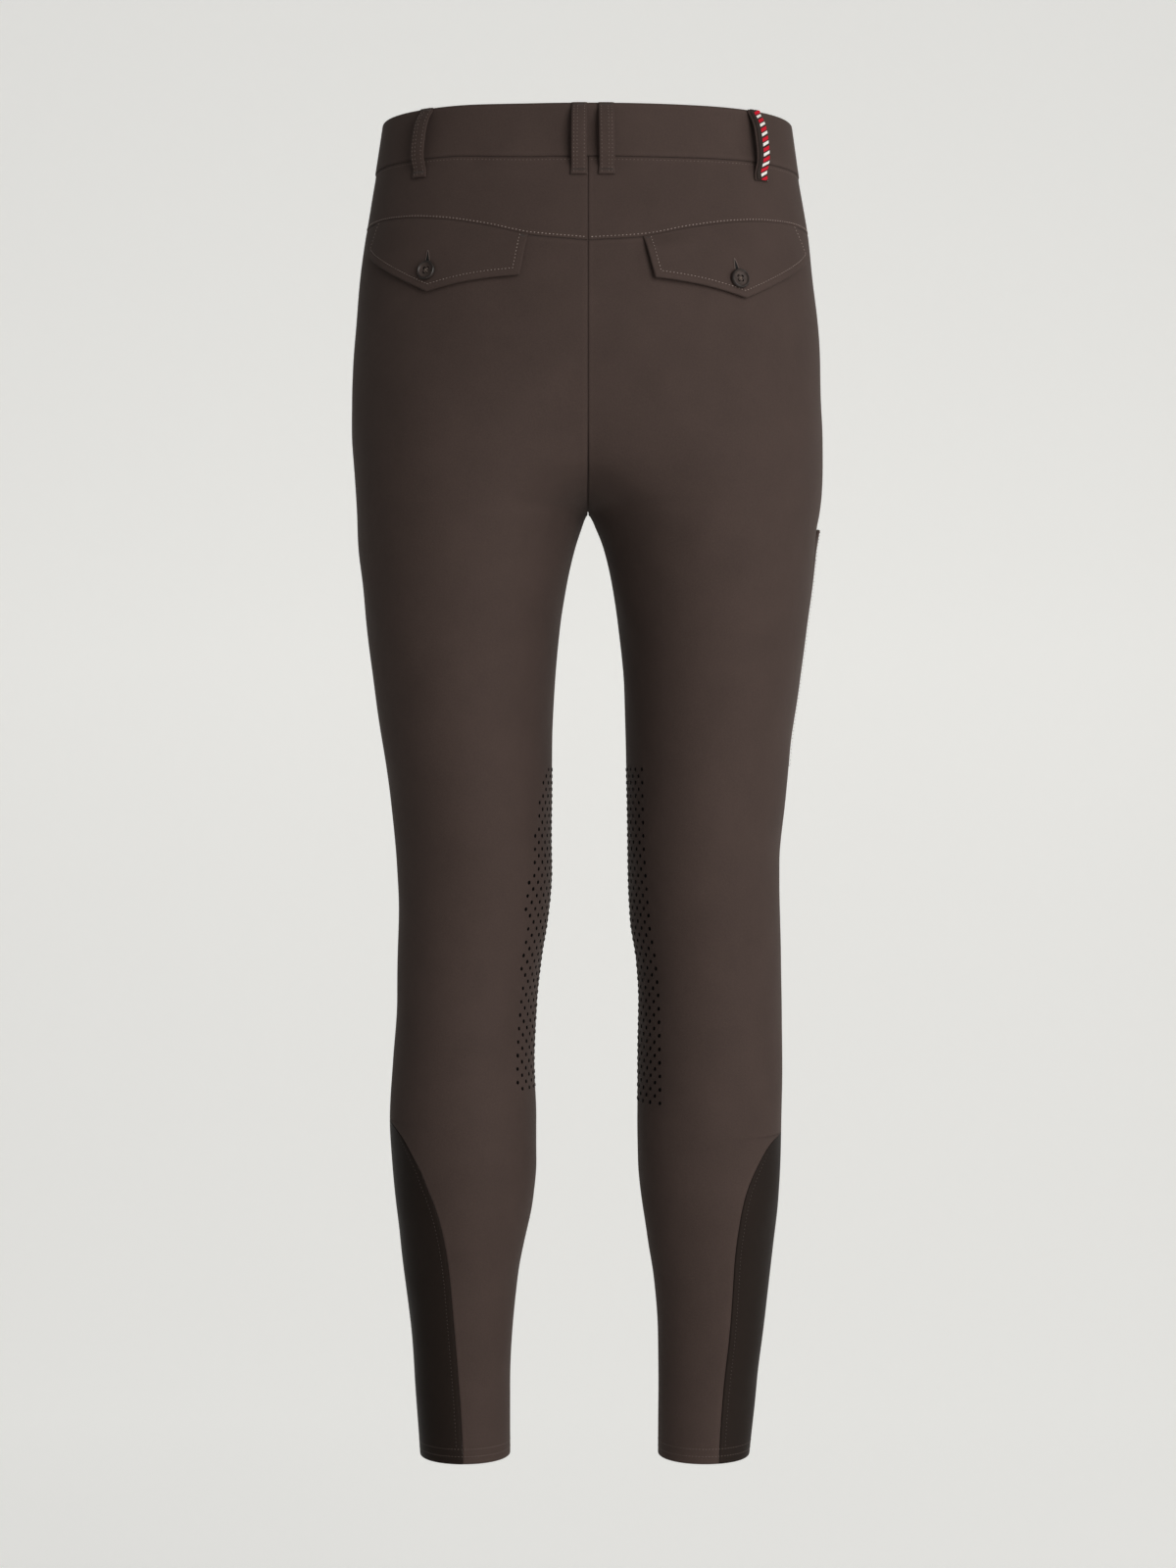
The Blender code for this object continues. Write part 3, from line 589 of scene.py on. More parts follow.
def add_cloth(name, grid, finish, seams=None, free=(), rounding=1.4):
    """A closed thin wall of cloth. Seams and free edges are among top, bottom, start and end:
    the cloth turns in at a seam, less beside the crotch and the hem, and is rounded over the
    given distance at a free edge."""
    seams = seams or {}
    outer = grid.points()
    across = run_lengths(outer, 1)
    down = run_lengths(outer, 0)
    distances = {
        "start": across,
        "end": across[:, -1:] - across,
        "top": down,
        "bottom": down[-1:] - down,
    }
    drop = np.zeros(grid.lift.shape)
    rise = np.zeros(grid.lift.shape)
    upright = smooth_step(np.abs(grid.height - CROTCH), 1.0, 14.0)
    upright = upright * smooth_step(grid.height, HEM + 1.0, HEM + 14.0)
    for edge, (reach, depth) in seams.items():
        sunk = turned_in(distances[edge], reach, depth)
        drop = np.maximum(drop, sunk * upright if edge in ("start", "end") else sunk)
    for edge in free:
        rounded = turned_in(distances[edge], rounding, 0.46 * grid.cloth)
        drop = np.maximum(drop, rounded)
        rise = np.maximum(rise, rounded)
    outer = grid.points(-drop)
    inner = grid.points(rise - grid.cloth)
    rows, columns = grid.lift.shape
    vertices = np.concatenate([outer.reshape(-1, 3), inner.reshape(-1, 3)]) * MM
    from_middle = across - across[:, columns // 2, None]
    flat = np.stack([from_middle, -down], axis=-1).reshape(-1, 2) * MM
    nearest = np.min([distances[edge] for edge in (*seams, *free)], axis=0)
    form = bmesh.new()
    made = [form.verts.new(vertex) for vertex in vertices]
    layer = form.loops.layers.uv.new("cut")
    for corners in wall_faces(rows, columns):
        face = form.faces.new([made[i] for i in corners])
        for loop, i in zip(face.loops, corners):
            loop[layer].uv = flat[i % len(flat)]
    bmesh.ops.recalc_face_normals(form, faces=form.faces)
    mesh = form_mesh(name, form)
    note(mesh, "near_edge", np.tile(nearest.reshape(-1) * MM, 2))
    mesh.shade_smooth()
    return add_object(name, mesh, finish)


def form_mesh(name, form):
    """Ends a bmesh and gives it as a mesh."""
    mesh = bpy.data.meshes.new(name)
    form.to_mesh(mesh)
    form.free()
    return mesh


def note(mesh, name, values, domain="POINT"):
    """Keeps a number for each point or face of a mesh."""
    kept = mesh.attributes.new(name, "FLOAT", domain)
    kept.data.foreach_set("value", np.asarray(values, np.float32))


def add_object(name, data, finish=None):
    """Adds an object to the scene, of the material that finish names."""
    if finish:
        data.materials.append(material(finish))
    made = bpy.data.objects.new(name, data)
    bpy.context.scene.collection.objects.link(made)
    return made


def trim(piece):
    """Fixes a piece to the garment."""
    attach(piece, BODY)


def dress(piece, node):
    """Puts a piece in place of a frame node."""
    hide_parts(node)
    trim(piece)


# Shaders --------------------------------------------------------------------------------
# Lengths in this part are in metres.


class Value:
    """A node's output, which can be used in sums as in a formula."""

    def __init__(self, shader, socket):
        self.shader = shader
        self.socket = socket

    def _maths(self, operation, *values):
        return self.shader.node("ShaderNodeMath", {"operation": operation}, *values)

    def __add__(self, other):
        return self._maths("ADD", self, other)

    def __radd__(self, other):
        return self._maths("ADD", other, self)

    def __sub__(self, other):
        return self._maths("SUBTRACT", self, other)

    def __rsub__(self, other):
        return self._maths("SUBTRACT", other, self)

    def __mul__(self, other):
        return self._maths("MULTIPLY", self, other)

    def fraction(self):
        return self._maths("FRACT", self)

    def size(self):
        return self._maths("ABSOLUTE", self)

    def wave(self, length):
        """An even wave from 0 to 1 that comes back every length."""
        return self._maths("SINE", self * (2 * pi / length)) * 0.5 + 0.5

    def ramp(self, start, end, low=0.0, high=1.0):
        """Smoothly from low to high as this value goes from start to end."""
        settings = {"interpolation_type": "SMOOTHSTEP"}
        return self.shader.node("ShaderNodeMapRange", settings, self, start, end, low, high)


class Shader:
    """A material whose nodes are made by one method."""

    def __init__(self, name):
        self.material = bpy.data.materials.new(name)
        self.material.use_nodes = True
        self.tree = self.material.node_tree
        self.base = self.tree.nodes["Principled BSDF"]
        self.place = self.node("ShaderNodeTexCoord", None, output=3)

    def node(self, kind, settings=None, *values, output=0):
        """Adds a node. Values go into its inputs in order, None leaving one as it is."""
        made = self.tree.nodes.new(kind)
        for name, value in (settings or {}).items():
            setattr(made, name, value)
        sockets = [socket for socket in made.inputs if socket.enabled]
        for socket, value in zip(sockets, values):
            self.put(socket, value)
        outputs = [socket for socket in made.outputs if socket.enabled]
        return Value(self, outputs[output])

    def put(self, socket, value):
        if value is None:
            return
        if isinstance(value, Value):
            self.tree.links.new(value.socket, socket)
        else:
            socket.default_value = value

    def mix(self, share, first, second):
        """A colour between two others."""
        settings = {"data_type": "RGBA"}
        return self.node("ShaderNodeMix", settings, share, rgba(first), rgba(second))

    def toned(self, colour, tone):
        """A colour made darker or lighter by a tone about 1."""
        return self.mix(tone.ramp(0.5, 1.5), shade(colour, 0.5), shade(colour, 1.5))

    def noise(self, scale, detail=2.0, roughness=0.5):
        """A soft random value about 0.5 at each place."""
        return self.node("ShaderNodeTexNoise", None, self.place, scale, detail, roughness)

    def cut_place(self):
        """The place on the piece's own flat pattern, across and along, in metres."""
        where = self.node("ShaderNodeUVMap", {"uv_map": "cut"})
        return self.split(where, 0), self.split(where, 1)

    def split(self, vector, axis):
        """One of a vector's three parts."""
        return self.node("ShaderNodeSeparateXYZ", None, vector, output=axis)

    def attribute(self, name):
        """The number that the mesh keeps under this name."""
        return self.node("ShaderNodeAttribute", {"attribute_name": name}, output=2)

    def bump(self, height, distance, strength=1.0, under=None):
        """Relief of this height and distance, on top of another one."""
        made = self.tree.nodes.new("ShaderNodeBump")
        made.inputs["Strength"].default_value = strength
        made.inputs["Distance"].default_value = distance
        self.put(made.inputs["Height"], height)
        if under:
            self.put(made.inputs["Normal"], under)
        return Value(self, made.outputs[0])

    def finish(self, **inputs):
        """Sets the surface's inputs, named with underscores for spaces, and gives the material."""
        for name, value in inputs.items():
            self.put(self.base.inputs[name.replace("_", " ").title().replace("Ior", "IOR")], value)
        return self.material


def rgba(colour):
    """A colour with its alpha, or the socket that gives one."""
    if isinstance(colour, Value):
        return colour
    return (*colour[:3], 1.0)


def shade(colour, factor):
    """A colour made lighter or darker."""
    return tuple(min(part * factor, 1.0) for part in colour[:3])


def twill_lines(across, along, pitch):
    """Fine diagonal ribs, each crossed by the yarns that make it. About 0 to 1."""
    rib = ((across * 0.42 + along * 0.91) * (1.0 / pitch)).wave(1.0)
    yarn = (across * 0.91 - along * 0.42).wave(pitch * 0.8)
    return rib * 0.75 + yarn * 0.25


def cloth_material(shader, colour):
    """Stretch twill: dark, nearly matt, mottled a little, with a fine diagonal rib. It has painted shade
    where it turns in at its seams, and a painted highlight on the ridge just beside them.
    """
    rib = twill_lines(*shader.cut_place(), chosen_sizes().twill_pitch)
    mottle = shader.noise(26.0, 3.0, 0.55)
    heather = shader.noise(900.0, 2.0, 0.6)
    near = shader.attribute("near_edge")
    # Painted shade: darker where the cloth turns in at a seam. Painted highlight: lighter on the ridge a
    # little further from the seam.
    painted_seam_shade = near.ramp(0.0002, 0.0012, 1.0, 0.0)
    painted_ridge_highlight = near.ramp(0.0012, 0.0024) * near.ramp(0.0026, 0.0048, 1.0, 0.0)
    tone = 0.88 + mottle * 0.2 + (heather - 0.5) * 0.22 + (rib - 0.5) * 0.14
    tone = tone + painted_ridge_highlight * 0.03 - painted_seam_shade * 0.1
    roughness = 0.78 + (mottle - 0.5) * 0.1 + (heather - 0.5) * 0.08
    weave = shader.bump(rib, 0.00006, 0.55)
    slub = shader.bump(heather, 0.00008, 0.35, weave)
    soft = shader.bump(shader.noise(55.0, 3.0, 0.5), 0.0009, 0.35, slub)
    return shader.finish(base_color=shader.toned(colour, tone), roughness=roughness, normal=soft,
                         specular_ior_level=0.1, sheen_weight=0.07, sheen_roughness=0.45,
                         sheen_tint=(0.95, 0.86, 0.8, 1.0))


def knit_material(shader, colour):
    """Elastic knit: darker and smoother than the twill, with fine upright ribs, and painted shade where it
    turns in at its seams.
    """
    across, along = shader.cut_place()
    pitch = chosen_sizes().knit_pitch
    rib = across.wave(pitch)
    loops = (along + rib * 0.0002).wave(pitch * 0.7)
    mottle = shader.noise(30.0, 3.0, 0.5)
    heather = shader.noise(1100.0, 2.0, 0.5)
    # Painted shade: darker where the knit turns in at a seam.
    painted_seam_shade = shader.attribute("near_edge").ramp(0.0003, 0.0016, 1.0, 0.0)
    tone = 0.86 + mottle * 0.16 + (rib - 0.5) * 0.16 + (loops - 0.5) * 0.08 + (heather - 0.5) * 0.2
    tone = tone - painted_seam_shade * 0.2
    weave = shader.bump(rib * 0.7 + loops * 0.3, 0.00008, 0.6)
    soft = shader.bump(shader.noise(60.0, 2.0, 0.5), 0.0006, 0.3, weave)
    return shader.finish(base_color=shader.toned(colour, tone), roughness=0.6 + (mottle - 0.5) * 0.12,
                         normal=soft, specular_ior_level=0.18, specular_tint=(1.0, 0.82, 0.75, 1.0))


def thread_material(shader, colour):
    """Sewing thread: fuzzy, a little worn, with a slight shine."""
    fuzz = shader.noise(2600.0, 2.0, 0.6)
    worn = shader.noise(70.0, 2.0, 0.5)
    tone = 0.8 + (fuzz - 0.5) * 0.5 + (worn - 0.5) * 0.5 + 0.2
    return shader.finish(base_color=shader.toned(colour, tone), roughness=0.5 + (fuzz - 0.5) * 0.2,
                         normal=shader.bump(fuzz, 0.0001, 0.4), specular_ior_level=0.45)


def button_material(shader, colour):
    """Cast resin: swirled brown, satin and lighter in the middle, darker and polished at the rim. The
    lighter middle is a painted reflection of the light on the flat face, and the walls of the holes are
    painted nearly black as shade.
    """
    swirl = shader.noise(190.0, 4.0, 0.65)
    grain = shader.noise(1500.0, 2.0, 0.5)
    middle = shader.attribute("from_middle").ramp(0.68, 0.8, 1.0, 0.0)
    # Painted reflection: the flat middle is made lighter than the rim.
    tone = (0.32 + middle * 0.4) * (0.72 + swirl.ramp(0.32, 0.68) * 0.5)
    base = shader.mix(tone * 0.5, (0.0, 0.0, 0.0), shade(colour, 2.0))
    # Painted shade: the walls of the four holes are nearly black.
    base = shader.mix(shader.attribute("in_hole"), base, (0.004, 0.003, 0.003))
    return shader.finish(base_color=base, roughness=0.3 + middle * 0.25 + swirl * 0.1,
                         normal=shader.bump(grain, 0.00004, 0.25), specular_ior_level=0.22,
                         coat_weight=0.35 - middle * 0.35, coat_roughness=0.12)


def grip_material(shader, colour):
    """Printed silicone: nearly black, matt and a little dusty."""
    dust = shader.noise(420.0, 3.0, 0.6)
    base = shader.mix(dust.ramp(0.35, 0.75), shade(colour, 0.85), shade(colour, 1.6))
    return shader.finish(base_color=base, roughness=0.6 + dust * 0.14,
                         normal=shader.bump(dust, 0.00005, 0.3), specular_ior_level=0.03)


def ribbon_material(shader, ground, red, white):
    """Woven ribbon: short slanted bars in red and in white, turn about, on a dark ground."""
    across, along = shader.cut_place()
    sizes = chosen_sizes()
    phase = ((along * -1.0 + across * 0.55) * (1.0 / sizes.ribbon_repeat)).fraction()
    edge = across.size().ramp(sizes.ribbon_bar - 0.00012, sizes.ribbon_bar + 0.00012, 1.0, 0.0)
    red_bar = phase.ramp(0.06, 0.085) * phase.ramp(0.435, 0.46, 1.0, 0.0) * edge
    white_bar = phase.ramp(0.56, 0.585) * phase.ramp(0.855, 0.88, 1.0, 0.0) * edge
    rib = along.wave(0.00042)
    warp = across.wave(0.0005)
    fuzz = shader.noise(1400.0, 2.0, 0.6)
    colour = shader.mix(white_bar, shader.mix(red_bar, ground, red), white)
    tone = 0.86 + rib * 0.14 + (fuzz - 0.5) * 0.3
    dark = shader.node("ShaderNodeMix", {"data_type": "RGBA", "blend_type": "MULTIPLY"}, 1.0, colour,
                       shader.node("ShaderNodeCombineColor", None, tone, tone, tone))
    return shader.finish(base_color=dark, roughness=0.66 + (fuzz - 0.5) * 0.15,
                         normal=shader.bump(rib * 0.7 + warp * 0.3, 0.0001, 0.6),
                         specular_ior_level=0.15)


def buttonhole_shade_material(shader, colour):
    """Painted shade: a nearly black sheet that stands for the shadow inside a buttonhole's slit."""
    fuzz = shader.noise(1200.0, 2.0, 0.6)
    base = shader.mix(fuzz, shade(colour, 0.6), shade(colour, 1.2))
    return shader.finish(base_color=base, roughness=0.9, normal=shader.bump(fuzz, 0.0001, 0.4))


def floor_material(shader, colour):
    """Pale paint, which glows evenly where the floor has swept up behind the breeches."""
    faint = shader.noise(0.8, 2.0, 0.5)
    base = shader.mix(faint, shade(colour, 0.995), shade(colour, 1.0))
    behind = shader.split(shader.place, 1).ramp(0.9, 2.2)
    glow = shader.mix(behind, (0.0, 0.0, 0.0), (0.391, 0.396, 0.391))
    return shader.finish(base_color=base, roughness=0.9 + faint * 0.05, specular_ior_level=0.1,
                         emission_color=glow, emission_strength=1.0)


# Settings -------------------------------------------------------------------------------


def metres(name, description, default, least, most):
    """A length that a user can change, in metres."""
    return FloatProperty(name=name, description=description, default=default, min=least, max=most,
                         unit="LENGTH")


def tint(name, description, default):
    """A colour that a user can change."""
    return FloatVectorProperty(name=name, description=description, default=default, size=3,
                               subtype="COLOR", min=0.0, max=1.0)


class BreechesSizes(bpy.types.PropertyGroup):
    """Sizes that a user of the part would change."""

    cloth: metres("Cloth", "Thickness of the leg, yoke and pocket cloth", 0.0015, 0.0005, 0.003)
    band_cloth: metres("Waistband cloth", "Thickness of the faced waistband", 0.0025, 0.001, 0.004)
    stretch_cloth: metres("Calf knit", "Thickness of the calf panels' knit", 0.0012, 0.0005, 0.003)
    twill_pitch: metres("Twill pitch", "Distance between the twill's diagonal ribs", 0.0007, 0.0002, 0.003)
    knit_pitch: metres("Knit pitch", "Distance between the knit's upright ribs", 0.0009, 0.0002, 0.003)
    stitch_length: metres("Stitch length", "Distance from one topstitch to the next", 0.0028, 0.0015, 0.006)
    thread_width: metres("Thread width", "Width of the topstitching thread", 0.00062, 0.0002, 0.002)
    grip_dot: metres("Grip dot", "Width of one silicone dot at the knee", 0.003, 0.001, 0.005)
    grip_row: metres("Grip row step", "Distance between rows of silicone dots", 0.005, 0.003, 0.01)
    grip_column: metres("Grip column step", "Distance between dots along a row", 0.012, 0.006, 0.02)
    ribbon_repeat: metres("Ribbon repeat", "Length of the ribbon's pattern", 0.0076, 0.003, 0.02)
    ribbon_bar: metres("Ribbon bar", "Half the width of the ribbon's pattern", 0.0031, 0.001, 0.005)
    seed: IntProperty(name="Seed", description="Seed of the small differences between stitches",
                      default=7, min=0)


class BreechesColours(bpy.types.PropertyGroup):
    """Colours that a user of the part would change."""

    cloth: tint("Cloth", "Dark brown twill", (0.062, 0.0432, 0.0378))
    knit: tint("Knit", "Darker elastic knit", (0.0135, 0.0095, 0.0078))
    thread: tint("Thread", "Pale thread of the yoke and the flaps", (0.40, 0.325, 0.29))
    plain_thread: tint("Plain thread", "Thread of the other rows on twill", (0.16, 0.12, 0.105))
    dark_thread: tint("Dark thread", "Thread of the calf panels and the bar tacks", (0.052, 0.038, 0.033))
    button_thread: tint("Button thread", "Thread that holds the buttons", (0.17, 0.13, 0.11))
    button: tint("Buttons", "Dark brown resin", (0.075, 0.055, 0.048))
    grip: tint("Grip dots", "Nearly black silicone", (0.0014, 0.0012, 0.0011))
    ribbon_ground: tint("Ribbon ground", "Ground of the loop's ribbon", (0.028, 0.02, 0.017))
    ribbon_red: tint("Ribbon red", "First bar of the loop's ribbon", (0.56, 0.008, 0.025))
    ribbon_white: tint("Ribbon white", "Second bar of the loop's ribbon", (0.84, 0.83, 0.8))
    floor: tint("Floor", "Pale floor and backdrop", (0.80, 0.79, 0.765))


def chosen_sizes():
    """The scene's sizes, in metres."""
    return bpy.context.scene.breeches_sizes


# Each material's function and the colours that it is made from.
MATERIALS = {
    "twill": (cloth_material, "cloth"),
    "knit": (knit_material, "knit"),
    "topstitch_thread": (thread_material, "thread"),
    "plain_thread": (thread_material, "plain_thread"),
    "dark_thread": (thread_material, "dark_thread"),
    "button_thread": (thread_material, "button_thread"),
    "button_resin": (button_material, "button"),
    "grip_silicone": (grip_material, "grip"),
    "ribbon": (ribbon_material, "ribbon_ground", "ribbon_red", "ribbon_white"),
    # Painted shade in the buttonholes' slits, made from the grip's nearly black colour.
    "buttonhole_dark": (buttonhole_shade_material, "grip"),
    "floor": (floor_material, "floor"),
}


def material(name):
    """The material of this name, made when it is first asked for."""
    found = bpy.data.materials.get(name)
    if found:
        return found
    make, *parts = MATERIALS[name]
    colours = bpy.context.scene.breeches_colours
    return make(Shader(name), *(getattr(colours, part) for part in parts))


# Cloth pieces ---------------------------------------------------------------------------


def leg_heights(side):
    """Row heights of a leg's panels below the level row, down to the hem."""
    tip = CALF_TIP[side]
    heights = list(LEVEL_ROW - 5.0 * np.arange(1, 23))
    heights += list(np.arange(-234.0, -310.0, -3.0))
    heights += list(np.arange(-313.0, tip + 3.0, -5.5))
    heights += [tip + 1.0, tip + 0.0]
    close_rows = (1, 2.2, 3.6, 5.2, 7, 9, 11.5, 14.5, 18, 22, 26.5, 31, 36)
    heights += [tip - below for below in close_rows]
    heights += list(np.arange(tip - 41.0, HEM + 8.0, -5.0))
    heights += [HEM + d for d in (5.0, 3.4, 2.2, 1.4, 0.8, 0.35, 0.0)]
    return np.array(heights)


def panel_angles(side, start, fullest, end, height, step=5.0):
    """Angles of a panel's columns, one row for each height. They stand close beside both
    edges, and follow the place where the leg is fullest from the crotch to the knee."""
    height = height[:, None]
    start, end = start[:, None], end[:, None]
    share = smooth_step(height, *HALVED_FROM) * smooth_step(height, *HALVED_TO)
    even = np.linspace(0.0, 1.0, 61)[None, :]
    to_fullest = start + (fullest - start) * even * 2
    past_fullest = fullest + (end - fullest) * (even * 2 - 1)
    halved = np.where(even < 0.5, to_fullest, past_fullest)
    angles = (start + (end - start) * even) * (1 - share) + halved * share
    lengths = run_lengths(plain_point(side, angles, height), 1)
    widest = lengths[:, -1].max()
    pattern = graded(widest, step)
    close = 5
    rows = []
    for row_angles, row_lengths in zip(angles, lengths):
        total = row_lengths[-1]
        reach = min(pattern[close] / total, 0.25) * total
        scale = reach / pattern[close]
        middle = (pattern[close:-close] - pattern[close]) / (pattern[-close - 1] - pattern[close])
        distances = np.concatenate([
            pattern[:close] * scale,
            reach + middle * (total - 2 * reach),
            total - pattern[:close][::-1] * scale,
        ])
        rows.append(np.interp(distances, row_lengths, row_angles))
    return np.array(rows)


def back_rows(side, heights):
    """Angles of a back panel's columns, from the centre seam or inseam to the side."""
    seam = calf_edges(side, heights)[0]
    end = seam - angle_for(side, seam, heights, HALF_GAP)
    return panel_angles(side, inner_edge(side, heights), 90.0, end, heights)


def front_rows(side, heights):
    """Angles of a front panel's columns, from the side to the fly, centre seam or inseam."""
    seam = calf_edges(side, heights)[1]
    start = seam + angle_for(side, seam, heights, HALF_GAP)
    return panel_angles(side, start, 270.0, front_edge(side, heights), heights)


def between(top, bottom, shares):
    """Heights of rows that run evenly from one to the other, given at each column's angle."""
    shares = shares[:, None]
    return top * (1 - shares) + bottom * shares


def add_yoke(side, name, cloth):
    """The shaped strip between the waistband and the seat."""
    angles = back_rows(side, np.array([LEVEL_ROW]))[0]
    shares = graded(48.0, 4.0) / 48.0
    heights = between(BAND_SEAM - HALF_GAP, yoke_seam(side, HALF_GAP)(angles), shares)
    grid = Grid(side, angles[None, :], heights, 0.0, cloth)
    seams = {"top": FLAT_SEAM, "bottom": OPEN_SEAM, "start": OPEN_SEAM, "end": OPEN_SEAM}
    piece = add_cloth(f"yoke_cloth_{name}", grid, "twill", seams)
    dress(piece, f"yoke_{name}")


def add_back(side, name, cloth):
    """The back of one leg, from the yoke seam to the hem, cut away round the calf panel."""
    heights = leg_heights(side)
    angles = back_rows(side, np.concatenate([[LEVEL_ROW], heights]))
    level, legs = angles[0], angles[1:]
    shares = graded(45.0, 4.5, last=False) / 45.0
    above = between(yoke_seam(side, -HALF_GAP)(level), LEVEL_ROW, shares)
    all_angles = np.concatenate([np.broadcast_to(level, above.shape), legs])
    all_heights = np.concatenate([above, np.broadcast_to(heights[:, None], legs.shape)])
    grid = Grid(side, all_angles, all_heights, 0.0, cloth)
    seams = {"top": OPEN_SEAM, "start": OPEN_SEAM, "end": OPEN_SEAM}
    piece = add_cloth(f"back_cloth_{name}", grid, "twill", seams, free=("bottom",))
    dress(piece, f"back_{name}")


def add_front(side, name, cloth):
    """The front of one leg, from the waistband to the hem. The left one laps over at the fly."""
    top = BAND_SEAM - HALF_GAP - graded(BAND_SEAM - LEVEL_ROW, 5.0, last=False)
    heights = np.concatenate([top, leg_heights(side)])
    angles = front_rows(side, heights)
    grid = Grid(side, angles, heights[:, None], fly_lift(side, angles, heights[:, None]), cloth)
    seams = {"top": FLAT_SEAM, "start": OPEN_SEAM, "end": OPEN_SEAM}
    piece = add_cloth(f"front_cloth_{name}", grid, "twill", seams, free=("bottom",))
    dress(piece, f"front_{name}")


def add_calf_panel(side, name, cloth):
    """The knit panel that tapers up the outside of the calf."""
    heights = leg_heights(side)
    heights = heights[heights <= CALF_TIP[side]]
    back, front = calf_edges(side, heights)
    start = back + angle_for(side, back, heights, HALF_GAP)
    end = front - angle_for(side, front, heights, HALF_GAP)
    angles = panel_angles(side, start, 180.0, end, heights, 4.0)
    grid = Grid(side, angles, heights[:, None], 0.0, cloth)
    seams = {"start": OPEN_SEAM, "end": OPEN_SEAM}
    piece = add_cloth(f"calf_knit_{name}", grid, "knit", seams, free=("bottom",))
    dress(piece, f"calf_panel_{name}")


def band_columns(height):
    """Sides and angles of the waistband's columns at one height, from its right end under the
    lap, round the back, to its left end on top."""
    count = 400
    right = np.linspace(float(band_angle(RIGHT, height, BAND_UNDER)), 90.0, count)
    left = np.linspace(90.0, float(band_angle(LEFT, height, BAND_OVER)), count)[1:]
    sides = np.concatenate([np.full(right.shape, RIGHT), np.full(left.shape, LEFT)])
    angles = np.concatenate([right, left])
    lengths = run_lengths(plain_point(sides, angles, np.full(angles.shape, height)), 0)
    close = np.array([0.35, 0.8, 1.4, 2.2])
    even = graded(1.0, 0.0075, False, False) * lengths[-1]
    wanted = np.sort(np.concatenate([even, lengths[-1] - close, close]))
    middle = lengths[count - 1]
    wanted[np.argmin(np.abs(wanted - middle))] = middle
    chosen_sides = np.where(wanted <= middle, RIGHT, LEFT)
    # The angles grow all the way round when the right side's are counted down from 180.
    growing = np.where(sides == RIGHT, 180.0 - angles, angles)
    chosen = np.interp(wanted, lengths, growing)
    return chosen_sides, np.where(chosen_sides == RIGHT, 180.0 - chosen, chosen)


def add_waistband(cloth):
    """The waistband, one strip all round with a lap at the front."""
    heights = BAND_SEAM + HALF_GAP + graded(BAND_TOP - BAND_SEAM - HALF_GAP, 4.0)
    heights = heights[::-1]
    sides, angles = (np.array(part) for part in zip(*(band_columns(height) for height in heights)))
    grid = Grid(sides, angles, heights[:, None], 0.0, cloth)
    grid.lift = band_lift(grid.side, grid.angle, grid.height)
    piece = add_cloth("waistband_cloth", grid, "twill", {"bottom": FLAT_SEAM}, ("top", "start", "end"))
    dress(piece, "waistband")


def flap_places(side, across, down):
    """Angle and height at places on a flap: across is 0 at its inner edge and 1 at its outer
    one, down is 0 at the yoke seam and 1 at its free edge."""
    corners = FLAP_CORNERS[side]
    top_angle = 90.0 + corners["top_in"] + (corners["top_out"] - corners["top_in"]) * across
    top_height = yoke_seam(side, -SEAM_GAP)(top_angle)
    inward = np.clip(across / FLAP_SHARE_IN, 0.0, 1.0)
    outward = np.clip((across - FLAP_SHARE_IN) / (1 - FLAP_SHARE_IN), 0.0, 1.0)
    ends = zip(corners["bottom_in"], corners["point"], corners["bottom_out"])
    low_angle, low_height = (a + (b - a) * inward + (c - b) * outward for a, b, c in ends)
    low_height = low_height + FLAP_HOLLOW * np.sin(pi * inward)
    angle = top_angle * (1 - down) + (90.0 + low_angle) * down
    return angle, top_height * (1 - down) + low_height * down


def flap_face(side, across, down):
    """Outer face and cloth of a flap, which lies closer and thinner at its outer end and
    stands off at its inner corner."""
    lift, cloth = flap_lift(down)
    outer_end = smooth_step(across, 0.8, 1.0)
    inner_corner = (1 - smooth_step(across, 0.0, 0.35)) * smooth_step(down, 0.0, 0.35)
    lift = lift - (lift - LAY_GAP - 0.5) * 0.75 * outer_end + FLAP_CORNER_STAND[side] * inner_corner
    return lift, cloth - (cloth - 0.6) * 0.7 * outer_end


def add_flap(side, name):
    """A pointed flap that hangs from the yoke seam."""
    across = graded(135.0, 3.5) / 135.0
    across = np.sort(np.append(across, FLAP_SHARE_IN))
    down = graded(46.0, 3.5) / 46.0
    angles, heights = flap_places(side, across[None, :], down[:, None])
    lift, cloth = flap_face(side, across[None, :], down[:, None])
    grid = Grid(side, angles, heights, lift, cloth)
    piece = add_cloth(f"flap_cloth_{name}", grid, "twill", free=("bottom", "start", "end"))
    dress(piece, f"flap_{name}")


def loop_rows(side, angle, bow, width, gap, cloth):
    """A strap of this width over a loop's line: gap beyond the loop's inner face. It is a
    little domed across, and wider at its foot."""
    heights = STRAP_TOP - graded(STRAP_TOP - STRAP_FOOT, 1.6)
    places = graded(width, 2.0) - width / 2
    spread = 1 + STRAP_SPREAD * smooth_step(heights, STRAP_FOOT + 9.0, STRAP_FOOT)
    across = (angle_for(side, 90.0 + angle, heights, 1.0) * spread)[:, None] * places[None, :]
    lift = loop_lift(heights, bow)[:, None] + gap + cloth + loop_dome(places, width)[None, :]
    return Grid(side, 90.0 + angle + across, heights[:, None], lift, cloth)


def add_loop(name, side, angle, bow):
    """A belt loop: a strap tacked down at its top and foot."""
    grid = loop_rows(side, angle, bow, LOOP_WIDTH, 0.0, LOOP_CLOTH)
    piece = add_cloth(f"{name}_strap", grid, "twill", None, ALL_EDGES, 0.9)
    dress(piece, name)


def add_tape(side, angle, bow):
    """The woven ribbon on the outer face of one belt loop."""
    grid = loop_rows(side, angle, bow, TAPE_WIDTH, LOOP_CLOTH + 0.1, TAPE_CLOTH)
    piece = add_cloth("loop_ribbon", grid, "ribbon", free=ALL_EDGES)
    dress(piece, "loop_tape")


